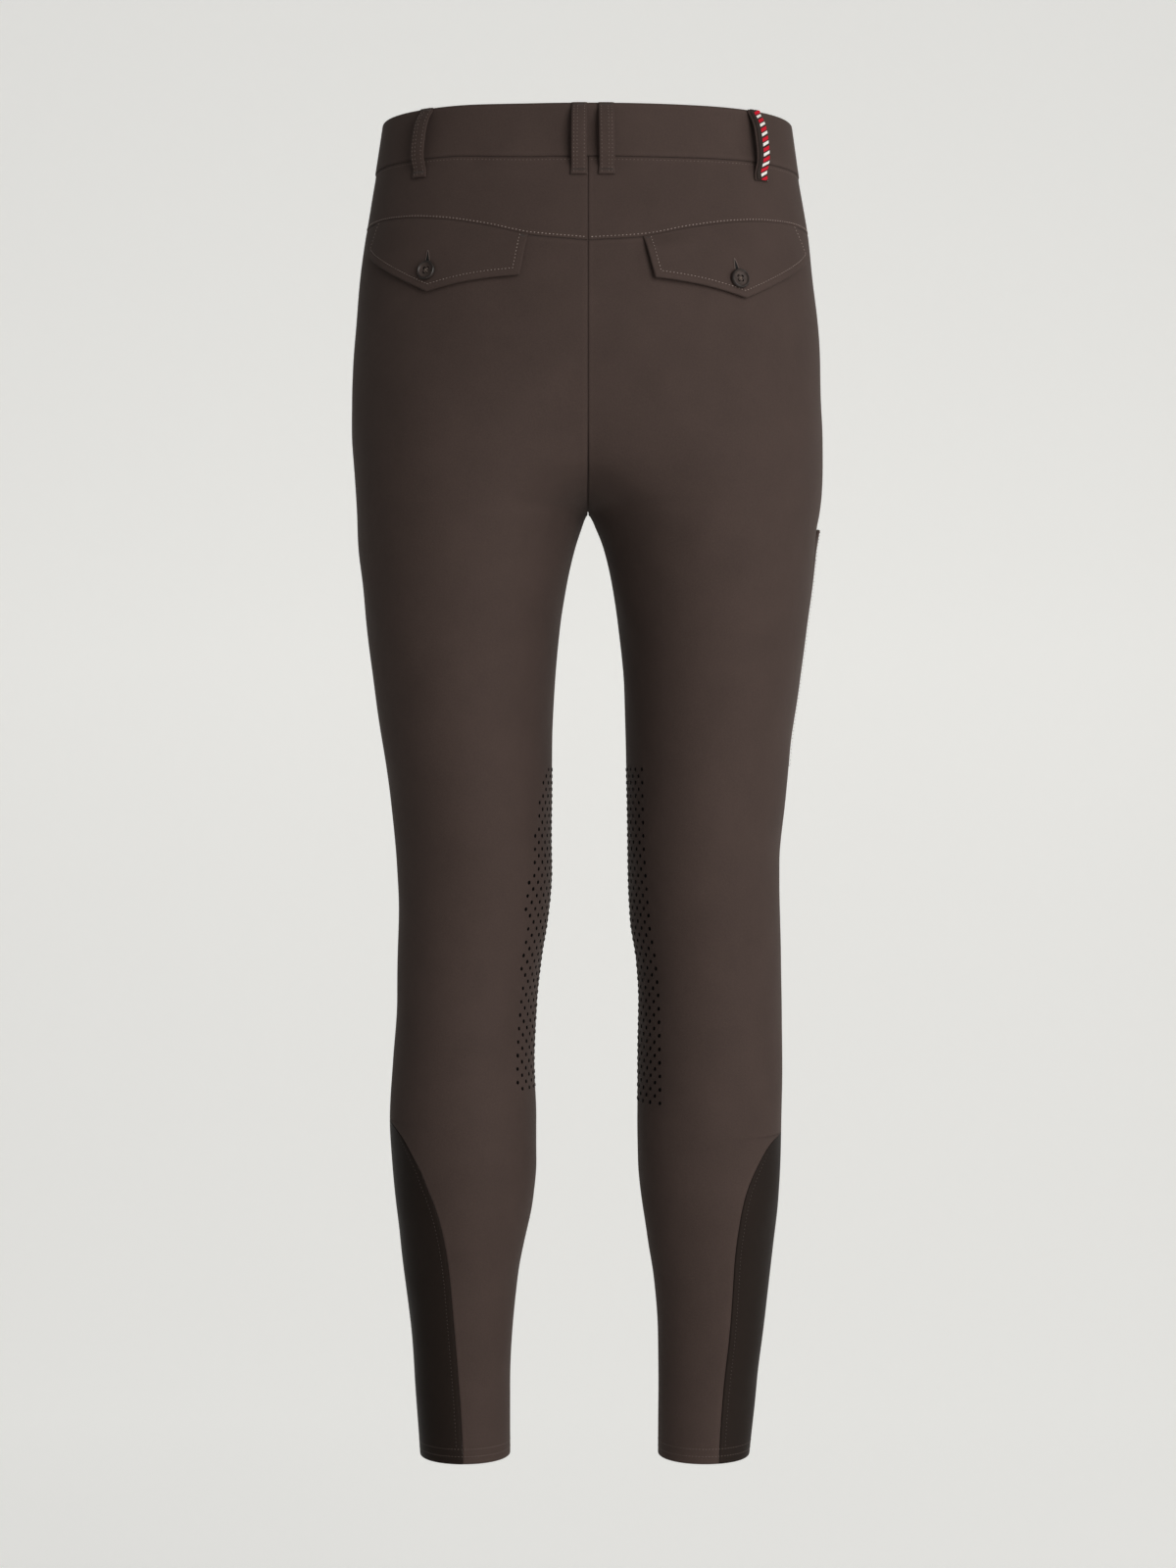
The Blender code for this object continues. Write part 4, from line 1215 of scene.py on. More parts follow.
def add_pocket(cloth):
    """A patch pocket over the right side seam, sewn down at its sides and foot. Its top hem
    stands off a little."""
    down = graded(POCKET_LENGTH, 5.0)[:, None] / POCKET_LENGTH
    across = graded(POCKET_WIDTH, 5.0)[None, :] / POCKET_WIDTH
    angles, heights, stand = pocket_place(across, down)
    from_side = np.minimum(across, 1 - across) * POCKET_WIDTH
    from_foot = (1 - down) * POCKET_LENGTH
    sewn = smooth_step(np.minimum(from_side, from_foot), 2.4, 0.2)
    ramp = smooth_step(across * POCKET_WIDTH, 9.0, 0.0) * smooth_step(down, 0.0, 0.06)
    lift = (stand + cloth) * (1 - 0.45 * sewn) * (1 - 0.75 * ramp)
    thick = np.minimum(cloth + (lift - 0.05 - cloth) * sewn, lift - 0.05)
    grid = Grid(RIGHT, angles, heights, lift, thick)
    piece = add_cloth("thigh_pocket_cloth", grid, "twill", free=ALL_EDGES)
    dress(piece, "thigh_pocket")


def add_seam_allowance(name, top, front):
    """The sewn edges behind the centre seam, inside the seat or below the fly."""
    heights = (top - graded(top - CROTCH - 0.4, 4.0))[:, None]
    start, end = (angle_at_x(RIGHT, heights, reach) for reach in (ALLOWANCE_REACH, -ALLOWANCE_REACH))
    angles = start + (end - start) * np.linspace(0.0, 1.0, 9)[None, :]
    if front:
        angles = 360.0 - angles[:, ::-1]
    grid = Grid(RIGHT, angles, heights, -ALLOWANCE_DEPTH, ALLOWANCE_CLOTH)
    piece = add_cloth(name, grid, "twill", free=("top", "start", "end"))
    walked = float(run_lengths(grid.points(), 0)[-1].max())
    trim(piece)


def add_waist_allowance(cloth, band_cloth):
    """The sewn edge behind the waist seam, where the left front rises towards its lap."""
    heights = (BAND_SEAM + 6.0 - graded(12.0, 3.0))[:, None]
    start, end = (band_angle(LEFT, heights, x) for x in WAIST_ALLOWANCE_X)
    angles = start + (end - start) * np.linspace(0.0, 1.0, 25)[None, :]
    band_back = band_lift(LEFT, angles, heights) - band_cloth
    front_back = fly_lift(LEFT, angles, heights) - cloth
    grid = Grid(LEFT, angles, heights, np.minimum(band_back, front_back) - 0.1, ALLOWANCE_CLOTH)
    piece = add_cloth("waist_seam_allowance", grid, "twill", free=ALL_EDGES)
    walked = float(run_lengths(grid.points(), 1)[:, -1].max())
    trim(piece)


# Lines of stitches, grip dots and buttons --------------------------------------------------


class Graph:
    """A geometry node tree with named inputs, whose nodes are made by one method."""

    def __init__(self, name, sockets):
        self.tree = bpy.data.node_groups.new(name, "GeometryNodeTree")
        self.tree.is_modifier = True
        self.tree.interface.new_socket("Geometry", in_out="OUTPUT", socket_type="NodeSocketGeometry")
        self.tree.interface.new_socket("Geometry", in_out="INPUT", socket_type="NodeSocketGeometry")
        for label, kind in sockets.items():
            self.tree.interface.new_socket(label, in_out="INPUT", socket_type=kind)
        self.start = self.tree.nodes.new("NodeGroupInput")
        self.end = self.tree.nodes.new("NodeGroupOutput")

    def given(self, label):
        return self.start.outputs[label]

    def node(self, kind, settings=None, inputs=None, output=0):
        """Adds a node with the given settings and inputs by name, and gives one output."""
        made = self.tree.nodes.new(kind)
        for label, value in (settings or {}).items():
            setattr(made, label, value)
        for label, value in (inputs or {}).items():
            sockets = [socket for socket in made.inputs if socket.name == label and socket.enabled]
            self.put(sockets[0] if sockets else made.inputs[label], value)
        return made.outputs[output]

    def put(self, socket, value):
        if isinstance(value, bpy.types.NodeSocket):
            self.tree.links.new(value, socket)
        else:
            socket.default_value = value

    def maths(self, operation, first, second):
        made = self.tree.nodes.new("ShaderNodeMath")
        made.operation = operation
        self.put(made.inputs[0], first)
        self.put(made.inputs[1], second)
        return made.outputs[0]

    def outward(self):
        """The cloth's normal at each point, which the points carry as the vector called out."""
        settings = {"data_type": "FLOAT_VECTOR"}
        return self.node("GeometryNodeInputNamedAttribute", settings, {"Name": "out"})

    def random(self, low, high):
        inputs = {"Min": low, "Max": high, "Seed": self.given("Seed")}
        return self.node("FunctionNodeRandomValue", {"data_type": "FLOAT"}, inputs, 1)

    def close(self, geometry):
        """Ends the tree: the copies become one mesh of one material."""
        real = self.node("GeometryNodeRealizeInstances", None, {"Geometry": geometry})
        smooth = self.node("GeometryNodeSetShadeSmooth", None, {"Geometry": real})
        painted = self.node("GeometryNodeSetMaterial", None,
                            {"Geometry": smooth, "Material": self.given("Material")})
        self.tree.links.new(painted, self.end.inputs["Geometry"])
        return self.tree


def grain(graph, segments, rings, length, width, height):
    """A small rounded body, its length along X and its height along Z."""
    ball = graph.node("GeometryNodeMeshUVSphere", None,
                      {"Segments": segments, "Rings": rings, "Radius": 0.5})
    size = graph.node("ShaderNodeCombineXYZ", None, {"X": height, "Y": width, "Z": length})
    return graph.node("GeometryNodeTransform", None,
                      {"Geometry": ball, "Scale": size, "Rotation": (0.0, pi / 2, 0.0)})


def stitch_tree():
    """Lays a grain of thread at even steps along each line. Turn swings each one about the
    cloth's normal."""
    graph = Graph("even_stitches", {
        "Step": "NodeSocketFloat", "Length": "NodeSocketFloat", "Width": "NodeSocketFloat",
        "Turn": "NodeSocketFloat", "Unevenness": "NodeSocketFloat", "Seed": "NodeSocketInt",
        "Material": "NodeSocketMaterial"})
    curve = graph.node("GeometryNodeMeshToCurve", None, {"Mesh": graph.given("Geometry")})
    spaced = graph.node("GeometryNodeResampleCurve", {"mode": "LENGTH"},
                        {"Curve": curve, "Length": graph.given("Step")})
    tangent = graph.node("GeometryNodeInputTangent")
    along = graph.node("FunctionNodeAlignRotationToVector", {"axis": "X"}, {"Vector": tangent})
    upright = graph.node("FunctionNodeAlignRotationToVector", {"axis": "Z", "pivot_axis": "X"},
                         {"Rotation": along, "Vector": graph.outward()})
    swing = graph.maths("MULTIPLY", graph.random(-1.0, 1.0), graph.given("Unevenness"))
    turn = graph.maths("ADD", graph.given("Turn"), swing)
    turn = graph.node("ShaderNodeCombineXYZ", None, {"Z": turn})
    rotation = graph.node("FunctionNodeEulerToRotation", None, {"Euler": turn})
    turned = graph.node("FunctionNodeRotateRotation", {"rotation_space": "LOCAL"},
                        {"Rotation": upright, "Rotate By": rotation})
    width = graph.given("Width")
    body = grain(graph, 6, 4, graph.given("Length"), width, graph.maths("MULTIPLY", width, 0.8))
    laid = graph.node("GeometryNodeInstanceOnPoints", None,
                      {"Points": spaced, "Instance": body, "Rotation": turned})
    return graph.close(laid)


def dot_tree():
    """Sets a rounded dot on each point, flat on the cloth."""
    graph = Graph("raised_dots", {
        "Width": "NodeSocketFloat", "Height": "NodeSocketFloat", "Unevenness": "NodeSocketFloat",
        "Seed": "NodeSocketInt", "Material": "NodeSocketMaterial"})
    out = graph.outward()
    upright = graph.node("FunctionNodeAlignRotationToVector", {"axis": "Z"}, {"Vector": out})
    uneven = graph.given("Unevenness")
    size = graph.random(graph.maths("SUBTRACT", 1.0, uneven), graph.maths("ADD", 1.0, uneven))
    width = graph.given("Width")
    body = grain(graph, 8, 5, width, width, graph.given("Height"))
    points = graph.given("Geometry")
    laid = graph.node("GeometryNodeInstanceOnPoints", None,
                      {"Points": points, "Instance": body, "Rotation": upright, "Scale": size})
    return graph.close(laid)


def grown(name, points, out, edges, tree, inputs):
    """A plain mesh object grown by a node tree from points, in millimetres, and their normals."""
    mesh = bpy.data.meshes.new(name)
    mesh.from_pydata((np.asarray(points) * MM).tolist(), edges, [])
    normals = mesh.attributes.new("out", "FLOAT_VECTOR", "POINT")
    normals.data.foreach_set("vector", np.asarray(out, np.float32).reshape(-1))
    made = add_object(name, mesh)
    modifier = made.modifiers.new("grow", "NODES")
    modifier.node_group = tree
    items = [item for item in tree.interface.items_tree if item.item_type == "SOCKET"]
    sockets = {item.name: item.identifier for item in items}
    for label, value in inputs.items():
        modifier[sockets[label]] = value
    made.update_tag()
    bpy.context.view_layer.update()
    graph = bpy.context.evaluated_depsgraph_get()
    result = bpy.data.meshes.new_from_object(made.evaluated_get(graph))
    made.modifiers.remove(modifier)
    made.data = result
    if not result.polygons:
        raise RuntimeError(f"{name} came out empty")
    result.name = name
    result.materials.clear()
    result.materials.append(inputs["Material"])
    return made


def line(side, angle, height, lift):
    """A stitch line as points and normals, each place given as arrays."""
    angle, height, lift = (np.asarray(part, float) for part in np.broadcast_arrays(angle, height, lift))
    side = np.broadcast_to(side, angle.shape)
    return place(side, angle, height, lift), plain_normal(side, angle, height)


def sew(tree, name, lines, thread, step=1.0, width=1.0, across=None):
    """Stitches along lines. Step and width are in parts of the usual stitch and thread. Stitches
    that lie across their line are given a length, in millimetres."""
    lines = list(lines)
    points, out = (np.concatenate(parts) for parts in zip(*lines))
    ends = set(np.cumsum([len(part[0]) for part in lines]).tolist())
    edges = [(i - 1, i) for i in range(1, len(points)) if i not in ends]
    sizes = chosen_sizes()
    pitch = sizes.stitch_length * step
    inputs = {
        "Step": pitch,
        "Length": across * MM if across else pitch * STITCH_SHARE,
        "Width": sizes.thread_width * width,
        "Turn": pi / 2 if across else 0.12,
        "Unevenness": 0.05,
        "Seed": sizes.seed,
        "Material": material(thread),
    }
    trim(grown(name, points, out, edges, tree, inputs))


def yoke_lines():
    """Topstitching on the yoke, just above its seam."""
    for side in SIDES:
        start = float(inner_edge(side, LEVEL_ROW)) + 1.0
        angles = np.linspace(start, SIDE_SEAM - 0.6, 160)
        yield line(side, angles, yoke_seam(side, YOKE_ROW)(angles), 0.08)


def waist_lines():
    """Topstitching just below the waistband, all round."""
    height = BAND_SEAM - WAIST_ROW
    for side in SIDES:
        start = float(inner_edge(side, height)) + 1.0
        yield line(side, np.linspace(start, SIDE_SEAM - 0.5, 160), height, 0.02)
        end = float(front_edge(side, height)) - (1.0 if side == LEFT else 14.0)
        front = np.linspace(SIDE_SEAM + 0.5, end, 160)
        yield line(side, front, height, fly_lift(side, front, height) + 0.02)


def flap_lines():
    """Topstitching round the flaps, along their free edges."""
    for side in SIDES:
        fine = np.linspace(0.0, 1.0, 60)
        width = run_lengths(Grid(side, *flap_places(side, fine, 0.9)).points()[None], 1)[0, -1]
        first, last = FLAP_ROW / width, 1 - FLAP_ROW / width
        across = np.concatenate([np.full(30, first), np.linspace(first, last, 120), np.full(30, last)])
        top, low = (Grid(side, *flap_places(side, across, down)).points() for down in (0.0, 1.0))
        foot = 1 - FLAP_ROW / np.maximum(np.linalg.norm(low - top, axis=-1), FLAP_ROW)
        down = foot.copy()
        down[:30] = np.linspace(0.04, foot[30], 30)
        down[-30:] = np.linspace(foot[-31], 0.04, 30)
        angles, heights = flap_places(side, across, down)
        yield line(side, angles, heights, flap_face(side, across, down)[0] + 0.06)


def loop_line(loop, height, offset):
    """A line on a belt loop's face, at an offset from the loop's middle."""
    _, side, angle, bow = loop
    turn = angle_for(side, 90.0 + angle, height, offset)
    face = loop_lift(height, bow) + LOOP_CLOTH + loop_dome(offset, LOOP_WIDTH)
    return line(side, 90.0 + angle + turn, height, face + 0.05)


def loop_lines():
    """Rows of stitches down the belt loops."""
    heights = np.linspace(LOOP_TOP - 2.0, LOOP_BOTTOM + 1.2, 60)
    for loop in LOOPS:
        for offset in LOOP_ROWS:
            yield loop_line(loop, heights, offset)


def tack_lines():
    """Bar tacks across both ends of each belt loop, and at the flaps' inner corners."""
    offset = np.linspace(-TACK_HALF_WIDTH, TACK_HALF_WIDTH, 12)
    for loop in LOOPS:
        for height in (LOOP_TOP - TACK_PLACES[0], LOOP_BOTTOM + TACK_PLACES[1]):
            yield loop_line(loop, height, offset)
    for side in SIDES:
        angles, heights = flap_places(side, np.array([0.012, 0.03]), 0.05)
        yield line(side, angles, heights, flap_lift(0.05)[0] + 0.1)


def hem_lines():
    """Twin rows round both hems."""
    for side in SIDES:
        for up in HEM_ROWS:
            yield line(side, np.linspace(0.0, 360.0, 240), HEM + up, 0.03)


def calf_lines():
    """Topstitching inside the calf panels' seams."""
    for side in SIDES:
        heights = np.linspace(CALF_TIP[side] - 14.0, HEM + 14.0, 160)
        back, front = calf_edges(side, heights)
        for edge, inward in ((back, 1), (front, -1)):
            angles = edge + inward * angle_for(side, edge, heights, CALF_ROW)
            yield line(side, angles, heights, 0.02)


def fly_lines():
    """The curved topstitching of the fly, on the left front."""
    top, down, straight = -21.5, 148.0, 0.72
    t = np.linspace(0.0, 1.0, 120)
    heights = top - down * t
    x = -FLY_ROW + FLY_ROW * np.clip((t - straight) / (1 - straight), 0.0, 1.0) ** 2.2
    angles = 360.0 - angle_at_x(LEFT, heights, x)
    yield line(LEFT, angles, heights, fly_lift(LEFT, angles, heights) + 0.05)


def pocket_lines():
    """Topstitching round the thigh pocket, and along the foot of its top hem."""
    steps = np.linspace(0.0, 1.0, 80)
    side_in, low_in = POCKET_ROW / POCKET_WIDTH, POCKET_ROW / POCKET_LENGTH
    inward = side_in + (1 - 2 * side_in) * steps
    across = np.concatenate([np.full(80, side_in), inward, np.full(80, 1 - side_in)])
    down = np.concatenate([0.01 + (0.99 - low_in) * steps, np.full(80, 1 - low_in),
                           1 - low_in - (0.99 - low_in) * steps])
    for places in ((across, down), (inward, np.full(80, 0.125))):
        angles, heights, stand = pocket_place(*places)
        yield line(RIGHT, angles, heights, stand + 1.5)


# Each row's name, lines and thread, its step and width in parts of the usual stitch and thread,
# and the length of stitches that lie across their line.
STITCHING = (
    ("yoke_stitches", yoke_lines, "topstitch_thread", 1.0, 1.0),
    ("waist_stitches", waist_lines, "plain_thread", 1.0, 0.6),
    ("flap_stitches", flap_lines, "topstitch_thread", 0.95, 0.7),
    ("loop_stitches", loop_lines, "plain_thread", 1.0, 0.85),
    ("bar_tacks", tack_lines, "dark_thread", 0.2, 0.8, TACK_LENGTH),
    ("hem_stitches", hem_lines, "plain_thread", 0.9, 0.65),
    ("calf_stitches", calf_lines, "dark_thread", 1.0, 0.8),
    ("fly_stitches", fly_lines, "plain_thread", 1.0, 0.8),
    ("pocket_stitches", pocket_lines, "plain_thread", 1.0, 0.8),
)


def flap_button_lift(side):
    """How far the flap's face stands out at its button."""
    angle, height = FLAP_BUTTON_PLACES[side]
    top = float(yoke_seam(side, 0.0)(90.0 + angle))
    down = (top - height) / (top - FLAP_CORNERS[side]["point"][1])
    return float(flap_lift(down)[0])


def button_spots():
    """Each button's name, width, side, angle, height and the lift of the cloth below it."""
    spots = []
    for side, name in SIDE_NAMES:
        angle, height = FLAP_BUTTON_PLACES[side]
        lift = flap_button_lift(side)
        spots.append((f"flap_button_{name}", FLAP_BUTTON_WIDTH, side, 90.0 + angle, height, lift))
    spots.append(("waist_button", WAIST_BUTTON_WIDTH, *waist_button_spot()))
    return spots


def waist_button_spot():
    """Side, angle, height and lift of the cloth below the waistband's button."""
    angle = float(band_angle(LEFT, 0.0, WAIST_BUTTON_X))
    return LEFT, angle, 0.0, float(band_lift(LEFT, angle, 0.0))


def stand_on(side, angle, height, lift):
    """The matrix that puts a piece made about the origin, facing +Z, on the cloth. Metres."""
    out = Vector(plain_normal(side, angle, height).tolist())
    spot = Vector(place(side, angle, height, lift).tolist()) * MM
    return Matrix.Translation(spot) @ out.to_track_quat("Z", "Y").to_matrix().to_4x4()


# A button's turned outline and its four holes, in parts of its radius.
BUTTON_PROFILE = (
    (0.0, 0.0), (0.78, 0.0), (0.9, 0.02), (0.97, 0.06), (1.0, 0.12), (0.985, 0.18), (0.955, 0.25),
    (0.915, 0.32), (0.87, 0.36), (0.83, 0.37), (0.79, 0.35), (0.75, 0.3), (0.71, 0.24), (0.66, 0.205),
    (0.4, 0.185), (0.0, 0.18),
)
HOLE_OUT = 0.2
HOLE_RADIUS = 0.145
# The threads of a button, in metres: the strands' width, half the distance between two of them,
# how high each pair arches, and the radius of the wound shank.
STRAND_WIDTH = 0.00036
STRAND_BESIDE = 0.00022
STRAND_ARCHES = {-1: 0.0004, 1: 0.0007}
SHANK_RADIUS = 0.0009
# Buttonholes: lean from upright on the flaps, how far they run down and up from their button,
# and half the width of their stitched edge and of their slit.
HOLE_LEAN = {LEFT: -3.5, RIGHT: 10.0}
FLAP_HOLE_RUN = (-2.0, 15.5)
WAIST_HOLE_RUN = (-12.0, 10.0)
HOLE_EDGE = 2.9
HOLE_SLIT = 1.9


def add_round(form, radius, low, high, sides, centre=(0.0, 0.0)):
    """Adds an upright closed cylinder to a bmesh."""
    made = bmesh.ops.create_cone(form, cap_ends=True, segments=sides, radius1=radius, radius2=radius,
                                 depth=high - low)
    bmesh.ops.translate(form, verts=made["verts"], vec=(*centre, (low + high) / 2))


def mark_button(mesh, radius):
    """Notes each point's share of the radius, and which faces are the walls of a hole, which the material
    paints nearly black as painted shade.
    """
    places = np.array([vertex.co[:] for vertex in mesh.vertices])
    share = np.hypot(places[:, 0], places[:, 1]) / radius
    note(mesh, "from_middle", share)
    near = radius * 0.5
    walls = [abs(face.normal.z) < 0.3 and face.center.xy.length < near for face in mesh.polygons]
    note(mesh, "in_hole", walls, "FACE")


def add_button(name, width, side, angle, height, lift):
    """A turned button with a rounded rim, a sunk middle and four holes."""
    radius = width / 2 * MM
    form = bmesh.new()
    profile = [form.verts.new((radius * r, 0.0, radius * z)) for r, z in BUTTON_PROFILE]
    edges = [form.edges.new(pair) for pair in zip(profile, profile[1:])]
    bmesh.ops.spin(form, geom=profile + edges, axis=(0, 0, 1), angle=2 * pi, steps=48)
    bmesh.ops.remove_doubles(form, verts=form.verts, dist=1e-6)
    bmesh.ops.recalc_face_normals(form, faces=form.faces)
    body = add_object(f"{name}_resin", form_mesh(f"{name}_resin", form))
    cutter = bmesh.new()
    for x in (-HOLE_OUT, HOLE_OUT):
        for y in (-HOLE_OUT, HOLE_OUT):
            add_round(cutter, radius * HOLE_RADIUS, -radius, radius, 12, (radius * x, radius * y))
    holes = add_object(f"{name}_holes", form_mesh(f"{name}_holes", cutter))
    cut = body.modifiers.new("holes", "BOOLEAN")
    cut.operation = "DIFFERENCE"
    cut.solver = "EXACT"
    cut.object = holes
    graph = bpy.context.evaluated_depsgraph_get()
    mesh = bpy.data.meshes.new_from_object(body.evaluated_get(graph))
    body.modifiers.remove(cut)
    bpy.data.objects.remove(holes, do_unlink=True)
    body.data = mesh
    mark_button(mesh, radius)
    mesh.transform(stand_on(side, angle, height, lift + BUTTON_GAP))
    mesh.shade_smooth()
    mesh.set_sharp_from_angle(angle=radians(40))
    mesh.materials.clear()
    mesh.materials.append(material("button_resin"))
    dress(body, name)


def add_strand(form, start, end, width, arch):
    """Adds one rounded strand of thread that arches from start to end, above z = 0."""
    along = (end - start).normalized()
    across = Vector((0.0, 0.0, 1.0)).cross(along)
    rings = []
    for i in range(9):
        t = i / 8
        middle = start.lerp(end, t) + Vector((0.0, 0.0, arch * np.sin(pi * t)))
        ring = []
        for j in range(6):
            turn = 2 * pi * j / 6
            ring.append(form.verts.new(middle + across * width / 2 * np.cos(turn)
                                       + Vector((0.0, 0.0, width / 2 * np.sin(turn)))))
        rings.append(ring)
    for low, high in zip(rings, rings[1:]):
        for j in range(6):
            form.faces.new((low[j], low[(j + 1) % 6], high[(j + 1) % 6], high[j]))
    form.faces.new(rings[0][::-1])
    form.faces.new(rings[-1])


def add_button_threads(spots):
    """The crossed threads in each button's holes and the wound shank below it."""
    whole = bmesh.new()
    for _, width, *spot, lift in spots:
        radius = width / 2 * MM
        form = bmesh.new()
        reach = radius * HOLE_OUT
        face = radius * 0.15
        for sign, arch in STRAND_ARCHES.items():
            for beside in (-STRAND_BESIDE, STRAND_BESIDE):
                shift = Vector((beside, -sign * beside, 0.0)) * 0.7071
                start = Vector((-reach, -sign * reach, face)) + shift
                end = Vector((reach, sign * reach, face)) + shift
                add_strand(form, start, end, STRAND_WIDTH, arch)
        add_round(form, SHANK_RADIUS, -(BUTTON_GAP + 0.1) * MM, 0.0002, 14)
        bmesh.ops.recalc_face_normals(form, faces=form.faces)
        form.transform(stand_on(*spot, lift + BUTTON_GAP))
        part = form_mesh("threads", form)
        whole.from_mesh(part)
        bpy.data.meshes.remove(part)
    mesh = form_mesh("button_threads", whole)
    mesh.shade_smooth()
    trim(add_object("button_threads", mesh, "button_thread"))


def buttonhole_spots():
    """Each buttonhole's side, angle, height, lift, lean from upright, and how far it runs down
    and up from there."""
    spots = []
    for side, (angle, height) in FLAP_BUTTON_PLACES.items():
        lean = -side * HOLE_LEAN[side]
        spots.append((side, 90.0 + angle, height, flap_button_lift(side), lean, *FLAP_HOLE_RUN))
    spots.append((*waist_button_spot(), 90.0, *WAIST_HOLE_RUN))
    return spots


def hole_outline(spot, half_width, count):
    """Points and normals of a long thin ring round a buttonhole, drawn open at its button."""
    side, angle, height, lift, lean, low, high = spot
    turns = np.linspace(0.0, 2 * pi, count + 1)
    along = (low + high) / 2 + (high - low) / 2 * np.sin(turns)
    narrowed = 1 - 0.72 * (np.sin(turns) + 1) / 2
    beside = half_width * narrowed * np.cos(turns) / np.sqrt(np.abs(np.cos(turns)) + 0.12)
    tilt = radians(lean)
    right = along * np.sin(tilt) + beside * np.cos(tilt)
    up = along * np.cos(tilt) - beside * np.sin(tilt)
    angles = angle + side * right * angle_for(side, angle, height, 1.0)
    return line(side, angles, height + up, lift)


def add_buttonholes(tree):
    """The stitched edges of all three buttonholes, and a nearly black sheet of painted shade in each slit.
    """
    lines = []
    shade_sheets = bmesh.new()
    for spot in buttonhole_spots():
        points, out = hole_outline(spot, HOLE_EDGE, 90)
        lines.append((points + out * 0.1, out))
        # A nearly black sheet in each slit: painted shade where one would see into the shadow under the
        # cloth.
        points, out = hole_outline(spot, HOLE_SLIT, 40)
        ring = [shade_sheets.verts.new(point) for point in (points[:-1] + out[:-1] * 0.12) * MM]
        shade_sheets.faces.new(ring)
    sew(tree, "buttonhole_stitches", lines, "plain_thread", 0.19, 0.7, 1.0)
    mesh = form_mesh("buttonhole_slits", shade_sheets)
    trim(add_object("buttonhole_slits", mesh, "buttonhole_dark"))


GRIP_DOT_RISE = 0.24
GRIP_TOP = -469.0
GRIP_FOOT = {LEFT: -713.0, RIGHT: -722.0}
# The grip's back and front edges: angle from the innermost point against height.
GRIP_BACK = {
    LEFT: Curve([(-469.0, 18.2), (-481.0, 26.0), (-495.8, 31.0), (-510.5, 36.0), (-526.2, 38.8),
                 (-544.6, 41.5), (-562.9, 45.2), (-587.2, 44.9), (-607.2, 43.0), (-627.2, 41.9),
                 (-712.0, 41.2)]),
    RIGHT: Curve([(-459.0, 33.5), (-464.3, 34.6), (-496.7, 36.1), (-518.1, 37.4), (-536.5, 38.6),
                  (-555.6, 41.8), (-577.7, 44.3), (-602.1, 45.4), (-621.4, 43.8), (-665.0, 47.5),
                  (-727.0, 47.5)]),
}
GRIP_FRONT = Curve([(-469.0, -4.0), (-480.0, -24.0), (-500.0, -48.0), (-530.0, -70.0), (-580.0, -84.0),
                    (-640.0, -84.0), (-690.0, -74.0), (-727.0, -62.0)])


def grip_places(side):
    """Places of the silicone dots: staggered rows round the inside of the knee."""
    sizes = chosen_sizes()
    row_step = sizes.grip_row / MM
    column_step = sizes.grip_column / MM
    angles, heights = [], []
    height, row = GRIP_TOP - 2.0, 0
    fine = np.linspace(-100.0, 60.0, 321)
    while height > GRIP_FOOT[side]:
        back = float(GRIP_BACK[side](height))
        front = float(GRIP_FRONT(height))
        lengths = run_lengths(plain_point(side, fine, np.full(fine.shape, height))[None], 1)[0]
        lengths = lengths - np.interp(0.0, fine, lengths)
        offset = column_step / 2 if row % 2 else 0.0
        for i in range(-14, 14):
            angle = float(np.interp(i * column_step + offset, lengths, fine, np.nan, np.nan))
            if front < angle < back:
                angles.append(angle)
                heights.append(height)
        height -= row_step
        row += 1
    return np.array(angles), np.array(heights)


def add_grip(side, name, tree):
    """The silicone dots inside one knee."""
    points, out = line(side, *grip_places(side), 0.12)
    sizes = chosen_sizes()
    inputs = {
        "Width": sizes.grip_dot,
        "Height": sizes.grip_dot * GRIP_DOT_RISE,
        "Unevenness": 0.06,
        "Seed": sizes.seed,
        "Material": material("grip_silicone"),
    }
    trim(grown(f"grip_dots_{name}", points, out, [], tree, inputs))


# The stage ------------------------------------------------------------------------------


WARM_WHITE = (1.0, 0.97, 0.94)


def add_light(name, place_at, target, size, power):
    """A soft oblong light, in metres and watts."""
    lamp = bpy.data.lights.new(name, "AREA")
    lamp.shape = "RECTANGLE"
    lamp.size, lamp.size_y = size
    lamp.energy = power
    lamp.color = WARM_WHITE
    made = add_object(name, lamp)
    made.location = place_at
    made.rotation_euler = (Vector(target) - Vector(place_at)).to_track_quat("-Z", "Y").to_euler()


def add_backdrop():
    """A pale floor that sweeps up into a wall behind the breeches. Metres."""
    floor, top, half_width = -1.6, 3.4, 3.2
    start, wall, bend = -6.0, 4.6, 1.4
    profile = [(start, floor), (wall - bend, floor)]
    for i in range(1, 13):
        turn = i / 12 * pi / 2
        profile.append((wall - bend + bend * np.sin(turn), floor + bend * (1 - np.cos(turn))))
    profile.append((wall, top))
    form = bmesh.new()
    rows = [[form.verts.new((x, y, z)) for x in (-half_width, half_width)] for y, z in profile]
    for (a, b), (c, d) in zip(rows, rows[1:]):
        form.faces.new((a, b, d, c))
    mesh = form_mesh("backdrop", form)
    mesh.shade_smooth()
    add_object("backdrop", mesh, "floor")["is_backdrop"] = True


def add_camera():
    """The camera behind the breeches, level and halfway down them. Metres."""
    camera = add_object("camera", bpy.data.cameras.new("camera"))
    camera.data.lens = 73.5
    camera.data.sensor_fit = "VERTICAL"
    camera.data.sensor_height = 36.0
    camera.data.clip_end = 60.0
    camera.location = (0.0, -2.45, -0.482)
    camera.rotation_euler = (pi / 2, 0.0, 0.0)
    bpy.context.scene.camera = camera


def add_world():
    """Even pale light from all round."""
    world = bpy.data.worlds.new("studio")
    world.use_nodes = True
    background = world.node_tree.nodes["Background"]
    background.inputs["Color"].default_value = (0.745, 0.737, 0.715, 1.0)
    background.inputs["Strength"].default_value = 0.32
    bpy.context.scene.world = world


